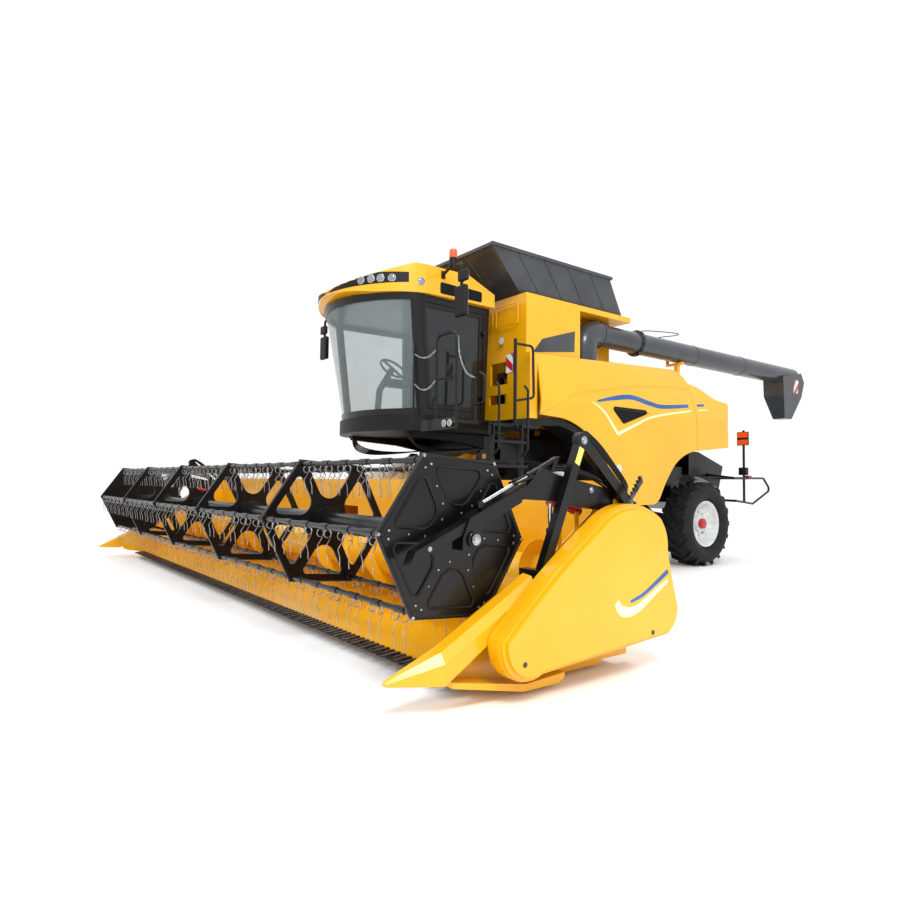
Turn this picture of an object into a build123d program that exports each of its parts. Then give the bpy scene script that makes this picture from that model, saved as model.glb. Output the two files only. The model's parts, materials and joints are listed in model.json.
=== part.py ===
# Combine harvester with tracked front drive, steered rear wheels and a wide cutting platform.
# Millimetres, +Z up. The machine drives towards -Y and its left side, with the cab door, is +X.
# Places are measured from the ground point under the drive wheels, and every finished piece is
# moved by MIDDLE_Y, so that the origin lies on the ground at the middle of the whole length.
from build123d import *
from math import atan2, cos, pi, radians, sin, sqrt, tan
import os

os.makedirs("parts", exist_ok=True)

# Whole machine
MIDDLE_Y = 1350.0
SEAT = 0.3
RUNNING = 0.05

# Track units
TRACK_X = 1450.0
TRACK_WIDTH = 610.0
BELT = 40.0
LUG = 50.0
LUG_COUNT = 31
DRIVE_R = 490.0
IDLER_R = 300.0
IDLER_Y = 800.0
ROLLER_R = 150.0
ROLLER_PITCH = 330.0
DRIVE_Z = 1090.0
IDLER_Z = IDLER_R + BELT + LUG

# Rear axle and wheels
REAR_Y = 3890.0
TYRE_R = 715.0
TYRE_WIDTH = 540.0
TYRE_LUG = 42.0
TYRE_LUG_COUNT = 19
RIM_R = 368.0
RIM_WIDTH = 400.0
WHEEL_X = 1370.0
KINGPIN_X = 960.0
KINGPIN_R = 34.0
SPINDLE_R = 55.0
STEER_ARM = 230.0
TOW_PIN_R = 16.0
TOW_PLATE = 22.0
TOW_BACK = 285.0

# Body
THRESHER_HALF = 800.0
HOOD_REAR_Y = 4800.0
RAIL = 120.0
RAIL_Z = (1500.0, 1700.0)
WALL = 40.0
SKIN = 25.0
TANK_HALF = 1450.0
BODY_HALF = TANK_HALF + 125.0
TANK_Y = (-250.0, 2000.0)
TANK_Z = (3140.0, 3990.0)
HOPPER_Z = 2260.0
HOPPER_HALF = 980.0
RECESS_X = TANK_HALF - 425.0
RECESS_Y = 830.0
BODY_TOP_Z = 2035.0
ENGINE_BED_Z = 2245.0
COVER_HALF = 1000.0
GUARD_X = 1500.0

# Unloading auger
ELBOW_X = TANK_HALF - 200.0
ELBOW_Y = 1130.0
AUGER_Z = 3670.0
AUGER_R = 173.0
ELBOW_R = 205.0
ELBOW_END = 300.0
ELBOW_FOOT_Z = 3330.0
AUGER_DROOP = 0.02
AUGER_REACH = 5820.0
AUGER_TURN = 3.0

# Cab
CAB_FLOOR_Z = 2230.0
CAB_TOP_Z = 3780.0
CAB_REAR_Y = -590.0
CAB_PILLAR_Y = (-1640.0, -1810.0)
ROOF_HALF = 1130.0
ROOF_NOSE_Y = -2520.0
CAB_SHELL = 45.0
DOOR_HINGE = (1050.0, -660.0)
DOOR_HINGE_Z = (2480.0, 3380.0)
LADDER_PIN = (1840.0, -1232.0)
MIRROR = (1814.0, -1661.0)
GLASS = 6.0

# Platform, the cutting table carried by the feeder
TABLE_HALF = 4600.0
TABLE_BACK_Y = -2330.0
TABLE_TOP_Z = 1400.0
END_PLATE = 16.0
AUGER_SHAFT_R = 40.0
KNIFE_Y = -3700.0
AUGER_AXIS = (-2790.0, 620.0)
FLIGHT_R = 330.0
FLIGHT_TUBE_R = 205.0

# Reel
REEL_AXIS = (-3825.0, 1022.0)
REEL_TURN = 176.0
REEL_BAR_R = 545.0
REEL_CORNER = 45.0
REEL_SPOKE = 90.0
REEL_RIM = 65.0
REEL_HALF = TABLE_HALF - 40.0
REEL_BAYS = 5
REEL_TUBE_R = 85.0
TINE_BAR_R = 19.0
TINE_LENGTH = 250.0
TINES_PER_BAY = 6
ARM_PIVOT = (-2450.0, 1240.0)
ARM_X = (TABLE_HALF + 50.0, TABLE_HALF + 130.0)
ARM_START = (-3863.0, 1030.0)
PIVOT_FACE_X = ARM_X[0] - 6.0
SIDE_FRAME_X = ARM_X[1] + 38.0
SHIELD_X = (TABLE_HALF + 200.0, TABLE_HALF + 350.0)
REEL_RAM_FOOT = (-3088.0, 725.0)
REEL_RAM_HEAD = (-3102.0, 1235.0)

FEEDER_PIVOT = (-520.0, 1740.0)
FEEDER_SHAFT_R = 40.0
FEEDER_HALF = 650.0
LIFT_X = 520.0
LIFT_FOOT = (-200.0, 760.0)
LIFT_HEAD = (-1500.0, 500.0)


def block(x, y, z):
    """A box between the low and high value of each axis."""
    size = Box(x[1] - x[0], y[1] - y[0], z[1] - z[0])
    return Pos((x[0] + x[1]) / 2, (y[0] + y[1]) / 2, (z[0] + z[1]) / 2) * size


def outline(points, radius=0.0):
    """A closed flat shape through the points, with all its corners rounded alike."""
    face = make_face(Polyline(*points, close=True))
    if radius:
        face = fillet(face.vertices(), radius)
    return face


def slab_x(face, x):
    """A flat (y, z) shape made solid from x[0] to x[1]."""
    return extrude(Plane((x[0], 0, 0), x_dir=(0, 1, 0), z_dir=(1, 0, 0)) * face, amount=x[1] - x[0])


def slab_y(face, y):
    """A flat (x, z) shape made solid from y[0] to y[1]."""
    return extrude(Plane((0, y[1], 0), x_dir=(1, 0, 0), z_dir=(0, -1, 0)) * face, amount=y[1] - y[0])


def slab_z(face, z):
    """A flat (x, y) shape made solid from z[0] to z[1]."""
    return extrude(Plane((0, 0, z[0])) * face, amount=z[1] - z[0])


def rod(start, end, radius, bore=0.0):
    """A round bar, or a tube with a bore, from one point to another."""
    along = Vector(*end) - Vector(*start)
    face = Circle(radius)
    if bore:
        face = face - Circle(bore)
    return extrude(Plane(start, z_dir=along) * face, amount=along.length)


def beam(start, end, wide, high):
    """A rectangular bar in a plane of constant x, or along x, wide across and high upwards."""
    along = Vector(*end) - Vector(*start)
    side = (0, 1, 0) if abs(along.normalized().X) > 0.9 else (1, 0, 0)
    return extrude(Plane(start, x_dir=side, z_dir=along) * Rectangle(wide, high), amount=along.length)


def pipe(points, radius, bend):
    """A round tube along straight runs that are joined by tangent bends."""
    path = FilletPolyline(*points, radius=bend)
    return sweep(Plane(path @ 0, z_dir=path % 0) * Circle(radius), path=path)


def both_sides(shape):
    """The shape and its mirror image on the other side of the machine."""
    return [shape, mirror(shape, about=Plane.YZ)]


def wheel_solid(profile, centre):
    """An (axial, radial) outline turned about the wheel's axis, along x through the centre."""
    return Pos(*centre) * revolve(make_face(profile), axis=Axis.X)


def belt_face(circles, grow):
    """The band outline round three wheels, each (y, z, r), with every radius grown alike."""
    edges = []
    count = len(circles)
    tangents = []
    for i in range(count):
        y0, z0, r0 = circles[i]
        y1, z1, r1 = circles[(i + 1) % count]
        length = sqrt((y1 - y0) ** 2 + (z1 - z0) ** 2)
        dy, dz = (y1 - y0) / length, (z1 - z0) / length
        s = (r0 - r1) / length
        c = sqrt(1 - s * s)
        ny, nz = dz * c + dy * s, -dy * c + dz * s
        start = (y0 + ny * (r0 + grow), z0 + nz * (r0 + grow))
        end = (y1 + ny * (r1 + grow), z1 + nz * (r1 + grow))
        tangents.append((start, end, (ny, nz)))
    for i in range(count):
        start, end, normal = tangents[i]
        edges.append(Line(start, end))
        following = tangents[(i + 1) % count]
        y1, z1, r1 = circles[(i + 1) % count]
        a0 = atan2(normal[1], normal[0])
        a1 = atan2(following[2][1], following[2][0])
        if a1 < a0:
            a1 += 2 * pi
        middle = (a0 + a1) / 2
        top = (y1 + cos(middle) * (r1 + grow), z1 + sin(middle) * (r1 + grow))
        edges.append(ThreePointArc(end, top, following[0]))
    return edges


def along_loop(edges, distance):
    """Place and outward normal of a point that lies a given distance along the loop."""
    for edge in edges:
        if distance <= edge.length:
            place = edge @ (distance / edge.length)
            ahead = edge % (distance / edge.length)
            return place, (ahead.Y, -ahead.X)
        distance -= edge.length
    return edges[-1] @ 1, (0, 1)


TRACK_WHEELS = [(-IDLER_Y, IDLER_Z, IDLER_R), (IDLER_Y, IDLER_Z, IDLER_R), (0.0, DRIVE_Z, DRIVE_R)]


def track_belt():
    """Rubber belt: a band round drive wheel and idlers, with two staggered rows of cross lugs."""
    outer = belt_face(TRACK_WHEELS, BELT)
    inner = belt_face(TRACK_WHEELS, SEAT)
    band = make_face(outer) - make_face(inner)
    loop = sum(edge.length for edge in outer)
    pitch = loop / LUG_COUNT
    foot, crest, root = 95.0, 60.0, 12.0
    halves = []
    for row in range(2):
        face = band
        for i in range(LUG_COUNT):
            place, (ny, nz) = along_loop(outer, (i + row / 2) * pitch + SEAT)
            ty, tz = -nz, ny
            corners = []
            for along, out in ((-foot, -root), (foot, -root), (crest, LUG), (-crest, LUG)):
                y = place.X + ty * along / 2 + ny * out
                z = place.Y + tz * along / 2 + nz * out
                corners.append((y, z))
            face = face + make_face(Polyline(*corners, close=True))
        x0 = TRACK_X - TRACK_WIDTH / 2 + row * TRACK_WIDTH / 2
        halves.append(slab_x(face, (x0, x0 + TRACK_WIDTH / 2)))
    return halves[0] + halves[1]


def track_drive_wheel():
    """White driving wheel: a broad ring on a dished disc with windows."""
    half = TRACK_WIDTH / 2 - 35
    disc_x = 1300.0 - TRACK_X
    ring = Polyline((-half, DRIVE_R), (half, DRIVE_R), (half, DRIVE_R - 45), (disc_x + 45, DRIVE_R - 60),
                    (disc_x + 30, 190), (disc_x + 30, 100 + SEAT), (disc_x, 100 + SEAT),
                    (disc_x, DRIVE_R - 75), (-half, DRIVE_R - 45), close=True)
    wheel = wheel_solid(ring, (TRACK_X, 0, DRIVE_Z))
    for i in range(8):
        angle = radians(i * 45 + 22.5)
        y, z = 310 * cos(angle), DRIVE_Z + 310 * sin(angle)
        wheel = wheel - rod((1250, y, z), (1400, y, z), 70)
    return wheel


def track_wheel_pair(y, z, radius, tread):
    """Two rubber-rimmed wheels on one axle, left and right of the track beam."""
    inside = TRACK_X - TRACK_WIDTH / 2 + 30
    outside = TRACK_X + TRACK_WIDTH / 2 - 30
    pair = rod((inside + 25, y, z), (outside - 25, y, z), 45)
    for x0, x1 in ((inside, inside + tread), (outside - tread, outside)):
        pair = pair + rod((x0, y, z), (x1, y, z), radius, radius - 55)
        pair = pair + rod((x0 + 30, y, z), (x1 - 60, y, z), radius - 50)
    return pair


def track_gear():
    """Track beam with its idlers and rollers, hung on the final drive by an inboard upright."""
    beam_x = (TRACK_X - 60, TRACK_X + 60)
    web = outline([(-IDLER_Y - 60, IDLER_Z - 70), (-480, IDLER_Z - 170), (480, IDLER_Z - 170),
                   (IDLER_Y + 60, IDLER_Z - 70), (IDLER_Y + 60, IDLER_Z + 40),
                   (260, IDLER_Z + 165), (-260, IDLER_Z + 165), (-IDLER_Y - 60, IDLER_Z + 40)], 25)
    plate = outline([(-230, IDLER_Z), (230, IDLER_Z), (260, DRIVE_Z), (170, DRIVE_Z + 200), (-170, DRIVE_Z + 200),
                     (-260, DRIVE_Z)], 25)
    upright = slab_x(plate, (1122, 1143)) - rod((1100, 0, DRIVE_Z), (1200, 0, DRIVE_Z), 185 + SEAT)
    gear = [upright]
    for y in (-160, 160):
        gear.append(rod((1130, y, IDLER_Z + 110), (TRACK_X, y, IDLER_Z + 110), 50))
    for y in (-IDLER_Y, IDLER_Y):
        gear.append(track_wheel_pair(y, IDLER_Z, IDLER_R, 190))
    for i in (-1, 0, 1):
        gear.append(track_wheel_pair(i * ROLLER_PITCH, ROLLER_R + BELT + LUG, ROLLER_R, 190))
    return slab_x(web, beam_x) + gear


def front_axle():
    """Box beam under the body with a final drive and a drive spindle at each end."""
    axle = block((-980, 980), (-150, 150), (DRIVE_Z - 150, DRIVE_Z + 130 - SEAT))
    parts = []
    for side in (-1, 1):
        parts.append(rod((side * (920 + SEAT), 0, DRIVE_Z), (side * 1120, 0, DRIVE_Z), 250))
        parts.append(rod((side * 1100, 0, DRIVE_Z), (side * (1300 - SEAT), 0, DRIVE_Z), 185))
        parts.append(rod((side * 1290, 0, DRIVE_Z), (side * (TRACK_X + 75), 0, DRIVE_Z), 100))
        ear = outline([(-140, 950), (-270, 820), (-270, 700), (-140, 690), (20, 950)], 20)
        for x in (side * LIFT_X - 92, side * LIFT_X + 68):
            parts.append(slab_x(ear, (x, x + 24)))
        parts.append(rod((side * LIFT_X - 90, *LIFT_FOOT), (side * LIFT_X + 90, *LIFT_FOOT), 25))
    return axle + parts


def main_frame():
    """Two long rails beside the threshing body, with axle hangers and the carriers of tank and doors."""
    x0, x1 = THRESHER_HALF, THRESHER_HALF + RAIL
    frame = block((-x1, x1), (REAR_Y - 190, REAR_Y + 190), (RAIL_Z[0] - 140, RAIL_Z[0]))
    parts = []
    for side in (-1, 1):
        def span(low, high):
            return sorted((side * low, side * high))
        parts.append(block(span(x0, x1), (-620, REAR_Y + 290), RAIL_Z))
        parts.append(block(span(x0, x1), (-150, 150), (DRIVE_Z + 130, RAIL_Z[0])))
        for y in (-219, 2060, 3310):
            parts.append(block(span(820, 900), (y, y + 70), (RAIL_Z[1], 2940)))
            reach = TANK_HALF - 20 if y < 0 else TANK_HALF + 170
            parts.append(block(span(820, reach), (y, y + 70), (2860, 2940)) & panel_space())
            parts.append(block(span(TANK_HALF - 90, TANK_HALF - 20), (y, y + 70), (2860, 3080)))
        parts.append(block(span(TANK_HALF - 90, TANK_HALF - 20), (-219, 3380), (3060, TANK_Z[0] - SEAT)))
        parts.append(block(span(890, FENDER_IN_X - SEAT), (-219, -149), (2180, 2236)))
        y, z = FEEDER_PIVOT
        ear = outline([(y - 90, RAIL_Z[1]), (y - 90, z + 40), (y - 50, z + 85), (y + 50, z + 85), (y + 90, z + 40),
                       (y + 90, RAIL_Z[1])])
        ear = ear - Pos(y, z) * Circle(FEEDER_SHAFT_R + RUNNING)
        parts.append(slab_x(ear, span(835, 890)))
    for y in (REAR_Y - 190, REAR_Y + 130):
        ear = outline([(-260, RAIL_Z[0] - 60), (-130, 900), (130, 900), (260, RAIL_Z[0] - 60)])
        parts.append(slab_y(ear, (y, y + 60)))
    parts.append(rod((0, REAR_Y - 195, 980), (0, REAR_Y + 195, 980), 55))
    return frame + parts


def rear_axle():
    """Steering axle: a beam that is deep at its centre pivot, a fork for each kingpin, a towing jaw."""
    face = outline([(-880, 655), (-880, 830), (-420, 880), (-170, 1080), (170, 1080), (420, 880),
                    (880, 830), (880, 655), (300, 640), (-300, 640)])
    parts = []
    for side in (-1, 1):
        for z in ((520, 590), (860, 930)):
            parts.append(block(sorted((side * 800, side * KINGPIN_X)), (REAR_Y - 70, REAR_Y + 70), z))
            parts.append(rod((side * KINGPIN_X, REAR_Y, z[0]), (side * KINGPIN_X, REAR_Y, z[1]), 70))
        parts.append(block(sorted((side * 790, side * 850)), (REAR_Y - 70, REAR_Y + 70), (520, 930)))
    for z in (680, 780):
        parts.append(block((-60, 60), (REAR_Y + 100, REAR_Y + TOW_BACK + 45), (z, z + TOW_PLATE)))
    axle = slab_y(face, (REAR_Y - 110, REAR_Y + 110)) + parts
    bores = [rod((0, REAR_Y - 200, 980), (0, REAR_Y + 200, 980), 55 + SEAT),
             rod((0, REAR_Y + TOW_BACK, 600), (0, REAR_Y + TOW_BACK, 900), TOW_PIN_R)]
    for side in (-1, 1):
        bores.append(rod((side * KINGPIN_X, REAR_Y, 500), (side * KINGPIN_X, REAR_Y, 950), KINGPIN_R + RUNNING))
    return axle - bores


def knuckle(side):
    """Steering knuckle: kingpin, barrel, wheel spindle and a steering arm towards the rear."""
    x = side * KINGPIN_X
    z = TYRE_R
    body = rod((x, REAR_Y, 510), (x, REAR_Y, 940), KINGPIN_R)
    body = body + rod((x, REAR_Y, 592), (x, REAR_Y, 858), 68)
    body = body + rod((x, REAR_Y, z), (side * (KINGPIN_X + 170), REAR_Y, z), 95)
    body = body + rod((x, REAR_Y, z), (side * (WHEEL_X + 60), REAR_Y, z), SPINDLE_R)
    arm = outline([(x - 45, REAR_Y), (x + 45, REAR_Y), (x + 30, REAR_Y + STEER_ARM + 40),
                   (x - 30, REAR_Y + STEER_ARM + 40)])
    body = body + slab_z(arm, (600, 640))
    body = body - rod((x, REAR_Y + STEER_ARM, 560), (x, REAR_Y + STEER_ARM, 700), 16 + RUNNING)
    return body


def tie_rod():
    """Bar between the two steering arms, with an upright pin in each arm's eye."""
    y = REAR_Y + STEER_ARM
    bar = rod((-KINGPIN_X + 50, y, 565), (KINGPIN_X - 50, y, 565), 22)
    for side in (-1, 1):
        x = side * KINGPIN_X
        bar = bar + rod((side * (KINGPIN_X - 60), y, 565), (x, y, 565), 30)
        bar = bar + rod((x, y, 535), (x, y, 598), 34)
        bar = bar + rod((x, y, 590), (x, y, 650), 16)
    return bar


def tyre(side):
    """Rear tyre: a round-shouldered carcass with two staggered rows of slanted lugs."""
    half = TYRE_WIDTH / 2
    crown = TYRE_R - TYRE_LUG
    bead = RIM_R + SEAT
    rim_half = RIM_WIDTH / 2 - 32
    flange = 400.0
    profile = Polyline((-rim_half, flange), (-rim_half, bead), (rim_half, bead), (rim_half, flange))
    profile += ThreePointArc((rim_half, flange), (half, (bead + crown) / 2 + 30), (half - 75, crown - 12))
    profile += ThreePointArc((half - 75, crown - 12), (0, crown + 6), (-half + 75, crown - 12))
    profile += ThreePointArc((-half + 75, crown - 12), (-half, (bead + crown) / 2 + 30), (-rim_half, flange))
    solid = revolve(make_face(profile), axis=Axis.X)
    lug = Box(half + 40, 46, 150)
    lugs = []
    for row in (-1, 1):
        for i in range(TYRE_LUG_COUNT):
            angle = (i + (0.5 if row > 0 else 0)) * 360 / TYRE_LUG_COUNT
            place = Rot(angle, 0, 0) * Pos(row * (half / 2 - 12), 0, TYRE_R - 75) * Rot(0, 0, row * 38)
            lugs.append(place * lug)
    limit_face = Polyline((-half, crown - 105), (-half + 42, crown - 20), (-half + 62, TYRE_R),
                          (half - 62, TYRE_R), (half - 42, crown - 20), (half, crown - 105), close=True)
    limit = revolve(make_face(limit_face), axis=Axis.X)
    solid = solid + (Compound(children=lugs) & limit)
    return Pos(side * WHEEL_X, REAR_Y, TYRE_R) * solid


def rim(side):
    """White dished rim: a dropped well between two flanges, with disc and hub."""
    half = RIM_WIDTH / 2
    disc = 30.0 * side
    profile = Polyline((-half, RIM_R + 22), (-half + 18, RIM_R + 22), (-half + 30, RIM_R), (-60, RIM_R),
                       (-40, RIM_R - 40), (40, RIM_R - 40), (60, RIM_R), (half - 30, RIM_R),
                       (half - 18, RIM_R + 22), (half, RIM_R + 22), (half, RIM_R + 8), (half - 24, RIM_R - 16),
                       (90, RIM_R - 60), (disc + 20, RIM_R - 110), (disc + 14, 150), (disc + 70, 140),
                       (disc + 70, SPINDLE_R + RUNNING), (disc - 60, SPINDLE_R + RUNNING), (disc - 60, 120),
                       (disc - 14, 150), (disc - 10, RIM_R - 110), (-90, RIM_R - 60), (-half + 24, RIM_R - 16),
                       (-half, RIM_R + 8), close=True)
    return wheel_solid(profile, (side * WHEEL_X, REAR_Y, TYRE_R))


def thresher_body():
    """Closed threshing and cleaning body between the rails, with its dipped belly and hood brackets."""
    face = outline([(-450, BODY_TOP_Z), (-450, 1400), (-300, 1240), (330, 1240), (480, 960), (2500, 960),
                    (2900, 1220), (3150, RAIL_Z[0] + SEAT), (4150, RAIL_Z[0] + SEAT), (4250, 1900),
                    (4250, ENGINE_BED_Z), (2100, ENGINE_BED_Z), (2100, BODY_TOP_Z)])
    hood_wall = HOOD_REAR_Y - SKIN - SEAT
    brackets = [block((x, x + 80), (4240, hood_wall), (2160, 2230)) for x in (-680, 600)]
    return slab_x(face, (-THRESHER_HALF + SEAT, THRESHER_HALF - SEAT)) + brackets


# Edge of the big side panel as (y, z), from the top front corner round the fender and wheel arch
PANEL_TOP_FRONT = (-150.0, 3140.0)
PANEL_TOP_REAR = (3000.0, 3290.0)
PANEL_REAR_TOP = (3380.0, 3080.0)
PANEL_REAR_LOW = (3580.0, 1950.0)
PANEL_ARCH_MID = (2960.0, 1700.0)
PANEL_ARCH_LOW = (2600.0, 1180.0)
PANEL_LOW_REAR = (2380.0, 1060.0)
PANEL_LOW_FRONT = (1900.0, 1050.0)
PANEL_FENDER_END = (1740.0, 1170.0)
PANEL_FENDER_REAR = (1330.0, 1590.0)
PANEL_FENDER_MID = (940.0, 2010.0)
PANEL_FENDER_TOP = (260.0, 2280.0)
PANEL_FRONT_LOW = (-150.0, 2300.0)
FENDER_IN_X = 1062.0


def side_section(depth):
    """Points (x, z) of the bulging side, from its top edge down, taken in by a depth."""
    wide = TANK_HALF - depth
    return [(wide + 2, 3340), (wide + 90, 3130), (wide + 160, 2820), (wide + 205, 2500), (wide + 150, 1900),
            (wide + 110, 1000)]


def panel_space():
    """Everything inside the side panels, down to the seats of their rubber buffers."""
    section = side_section(SKIN + SEAT)
    face = make_face(Polyline(*section, *[(-x, z) for x, z in reversed(section)], close=True))
    return slab_y(face, (-1000, 4000))


def side_band(inner, outer, y):
    """Bodywork skin between two depths of the bulging side section, along y."""
    face = make_face(Polyline(*side_section(inner), *reversed(side_section(outer)), close=True))
    return slab_y(face, y)


def side_panel():
    """Large lift-up side door: an arched outline cut from the bulging side skin."""
    edge = Polyline(PANEL_FENDER_TOP, PANEL_FRONT_LOW, PANEL_TOP_FRONT, PANEL_TOP_REAR)
    edge += ThreePointArc(PANEL_TOP_REAR, (3250, 3230), PANEL_REAR_TOP)
    edge += Line(PANEL_REAR_TOP, PANEL_REAR_LOW)
    edge += ThreePointArc(PANEL_REAR_LOW, (3240, 1870), PANEL_ARCH_MID)
    edge += ThreePointArc(PANEL_ARCH_MID, (2740, 1420), PANEL_ARCH_LOW)
    edge += ThreePointArc(PANEL_ARCH_LOW, (2510, 1090), PANEL_LOW_REAR)
    edge += Line(PANEL_LOW_REAR, PANEL_LOW_FRONT)
    edge += ThreePointArc(PANEL_LOW_FRONT, (1805, 1085), PANEL_FENDER_END)
    edge += Line(PANEL_FENDER_END, PANEL_FENDER_REAR)
    edge += ThreePointArc(PANEL_FENDER_REAR, PANEL_FENDER_MID, PANEL_FENDER_TOP)
    cut = slab_x(make_face(edge), (TANK_HALF - 150, TANK_HALF + 350))
    return side_band(0, SKIN, (-200, 3700)) & cut


def front_wall():
    """Yellow front wall of the body below the grain tank, with a ledge and two side columns."""
    top = TANK_Z[0] - SEAT
    low = 2246.0
    parts = [block((-BODY_HALF, BODY_HALF), (-300, TANK_Y[0] - 5), (3090, top))]
    for side in (-1, 1):
        parts.append(block(sorted((side * (HOPPER_HALF + 5), side * BODY_HALF)), (-300, -219 - SEAT), (3090, top)))
        parts.append(block(sorted((side * (BODY_HALF - WALL), side * BODY_HALF)), (-300, -160), (low, top)))
    wall = block((-BODY_HALF, BODY_HALF), (-300, -262), (low, top)) + parts
    openings = [block((765, 1130), (-400, -240), (2755, 3070)), block((735, 1100), (-400, -240), (2480, 2615))]
    return wall - openings


def front_fender():
    """Black arched cover over one track, with a broad outer lip that follows the panel's edge."""
    def arch(drop):
        edge = Polyline((-560, 2215 - drop), (PANEL_FENDER_TOP[0], PANEL_FENDER_TOP[1] - 12 - drop))
        edge += ThreePointArc((PANEL_FENDER_TOP[0], PANEL_FENDER_TOP[1] - 12 - drop),
                              (PANEL_FENDER_MID[0] - 10 - drop * 0.6, PANEL_FENDER_MID[1] - 14 - drop * 0.8),
                              (PANEL_FENDER_REAR[0] - 12 - drop, PANEL_FENDER_REAR[1] - 4 - drop * 0.1))
        edge += Line((PANEL_FENDER_REAR[0] - 12 - drop, PANEL_FENDER_REAR[1] - 4 - drop * 0.1),
                     (PANEL_FENDER_END[0] - 14 - drop, PANEL_FENDER_END[1] - 60))
        return edge
    def band(drop):
        upper = arch(0)
        lower = arch(drop)
        ends = Line(lower @ 0, upper @ 0)
        ends += Line(upper @ 1, lower @ 1)
        return make_face(Curve() + upper.edges() + lower.edges() + ends.edges())
    edge_x = BODY_HALF - 10
    liner = slab_x(band(22), (FENDER_IN_X, edge_x))
    lip = slab_x(band(95), (edge_x, edge_x + 25))
    return liner + lip


def grain_tank():
    """Open grain tank: upright walls with a recess for the unloading elbow, over a sloped hopper."""
    y0, y1 = TANK_Y
    z0, z1 = TANK_Z
    floor, roof = z0 + WALL, z1 - WALL
    recess = block((RECESS_X, 1600), (RECESS_Y, y1 + 50), (floor, roof - WALL))
    recess_wall = block((RECESS_X - WALL, 1600), (RECESS_Y - WALL, y1 + 50), (floor - 1, roof + 1))
    outer = block((-TANK_HALF, TANK_HALF), (y0, y1), TANK_Z) - recess
    inner = block((-TANK_HALF + WALL, TANK_HALF - WALL), (y0 + WALL, y1 - WALL), (floor, roof)) - recess_wall
    mouth = block((-1250, 1250), (y0 + 60, y1 - WALL), (roof - 1, z1 + 1)) - recess_wall
    def hopper(inset):
        top = Plane((0, (y0 + y1) / 2, z0)) * Rectangle(2 * (HOPPER_HALF - inset), y1 - y0 - 2 * inset)
        low = Plane((0, (y0 + y1) / 2, HOPPER_Z)) * Rectangle(2 * (420 - inset), 1100 - 2 * inset)
        return loft([top, low], ruled=True)
    throat = block((-HOPPER_HALF + WALL, HOPPER_HALF - WALL), (y0 + 2 * WALL, y1 - 2 * WALL), (z0 - 20, floor + 5))
    tank = outer - inner - mouth
    return tank + (hopper(0) - Pos(0, 0, WALL) * hopper(WALL)) - throat


def tank_extension():
    """Dark folding tank cover, opened to a funnel that leans forward, with a rim strip."""
    low_z, top_z = TANK_Z[1] + SEAT, 4470.0
    def funnel(z0, z1, inset):
        levels = []
        for z in (z0, z1):
            t = (z - low_z) / (top_z - low_z)
            face = Rectangle(2 * (1300 + 230 * t - inset), 2 * (1110 + 60 * t - inset))
            levels.append(Plane((0, 890 - 660 * t, z)) * face)
        return loft(levels, ruled=True)
    rim_strip = slab_z(Pos(0, 230) * Rectangle(3120, 2400), (top_z - 12, top_z + 34))
    return funnel(low_z, top_z, 0) + rim_strip - funnel(low_z - 20, top_z + 60, 14)


def engine():
    """Diesel engine as one plain block behind the tank."""
    return block((-700, 700), (2150, 3250), (ENGINE_BED_Z + SEAT, 3050))


def engine_deck():
    """Yellow deck over the engine with its cover, the cooling air box and the auger's rest."""
    deck = block((-TANK_HALF + 10, TANK_HALF - 10), (2040, 3430), (TANK_Z[0], 3180)) - block((-600, 600), (2200, 3200), (3100, 3200))
    hood = outline([(-640, 3180), (-640, 3420), (-560, 3500), (560, 3500), (640, 3420), (640, 3180)])
    hood = slab_y(hood, (2160, 3240)) - block((-590, 590), (2200, 3200), (3100, 3440))
    screen = block((-TANK_HALF + 30, -700), (2250, 3150), (3170, 3720))
    screen = screen + rod((-TANK_HALF + 10, 2700, 3450), (-TANK_HALF + 50, 2700, 3450), 240)
    rest_top = AUGER_Z - AUGER_DROOP * (3400 - ELBOW_Y - ELBOW_END) - AUGER_R - 8
    rest = block((1330, 1400), (3330, 3400), (3170, rest_top)) + block((1170, 1480), (3330, 3400), (rest_top - 40, rest_top))
    rest = rest + block((1170, 1186), (3330, 3400), (rest_top - 20, rest_top + 120))
    return deck + [hood, screen, rest]


def hood_volume(inset):
    """The rear hood's rounded space, with plan, side view and bulging section taken in alike."""
    low = 1950 - 40 * inset
    wide = TANK_HALF + 210 - inset
    rear = HOOD_REAR_Y - inset
    plan = Line((-wide, 3300), (wide, 3300))
    plan += Line((wide, 3300), (wide, 4250))
    plan += ThreePointArc((wide, 4250), (wide - 140, rear - 140), (wide - 560, rear))
    plan += Line((wide - 560, rear), (560 - wide, rear))
    plan += ThreePointArc((560 - wide, rear), (140 - wide, rear - 140), (-wide, 4250))
    plan += Line((-wide, 4250), (-wide, 3300))
    front_top = (PANEL_REAR_TOP[0] + 12 - 3 * inset, PANEL_REAR_TOP[1] - inset * 0.6)
    front_low = (PANEL_REAR_LOW[0] + 12 - 3 * inset, low)
    side = outline([front_top, front_low, (rear - 90, low + 110), (rear, 2160), (rear, 2380),
                    (rear - 110, 2640 - inset), (rear - 300, 2820 - inset), (4120 - inset, 2870 - inset),
                    (3660 - inset, 3040 - inset)])
    section = side_section(inset)
    face = make_face(Polyline(*section, *[(-x, z) for x, z in reversed(section)], close=True))
    return slab_z(make_face(plan), (700, 3300)) & slab_x(side, (-wide, wide)) & slab_y(face, (3200, 4900))


def rear_hood():
    """Rounded rear end of the bodywork behind the side panels, open below."""
    return hood_volume(0) - hood_volume(SKIN)


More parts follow.
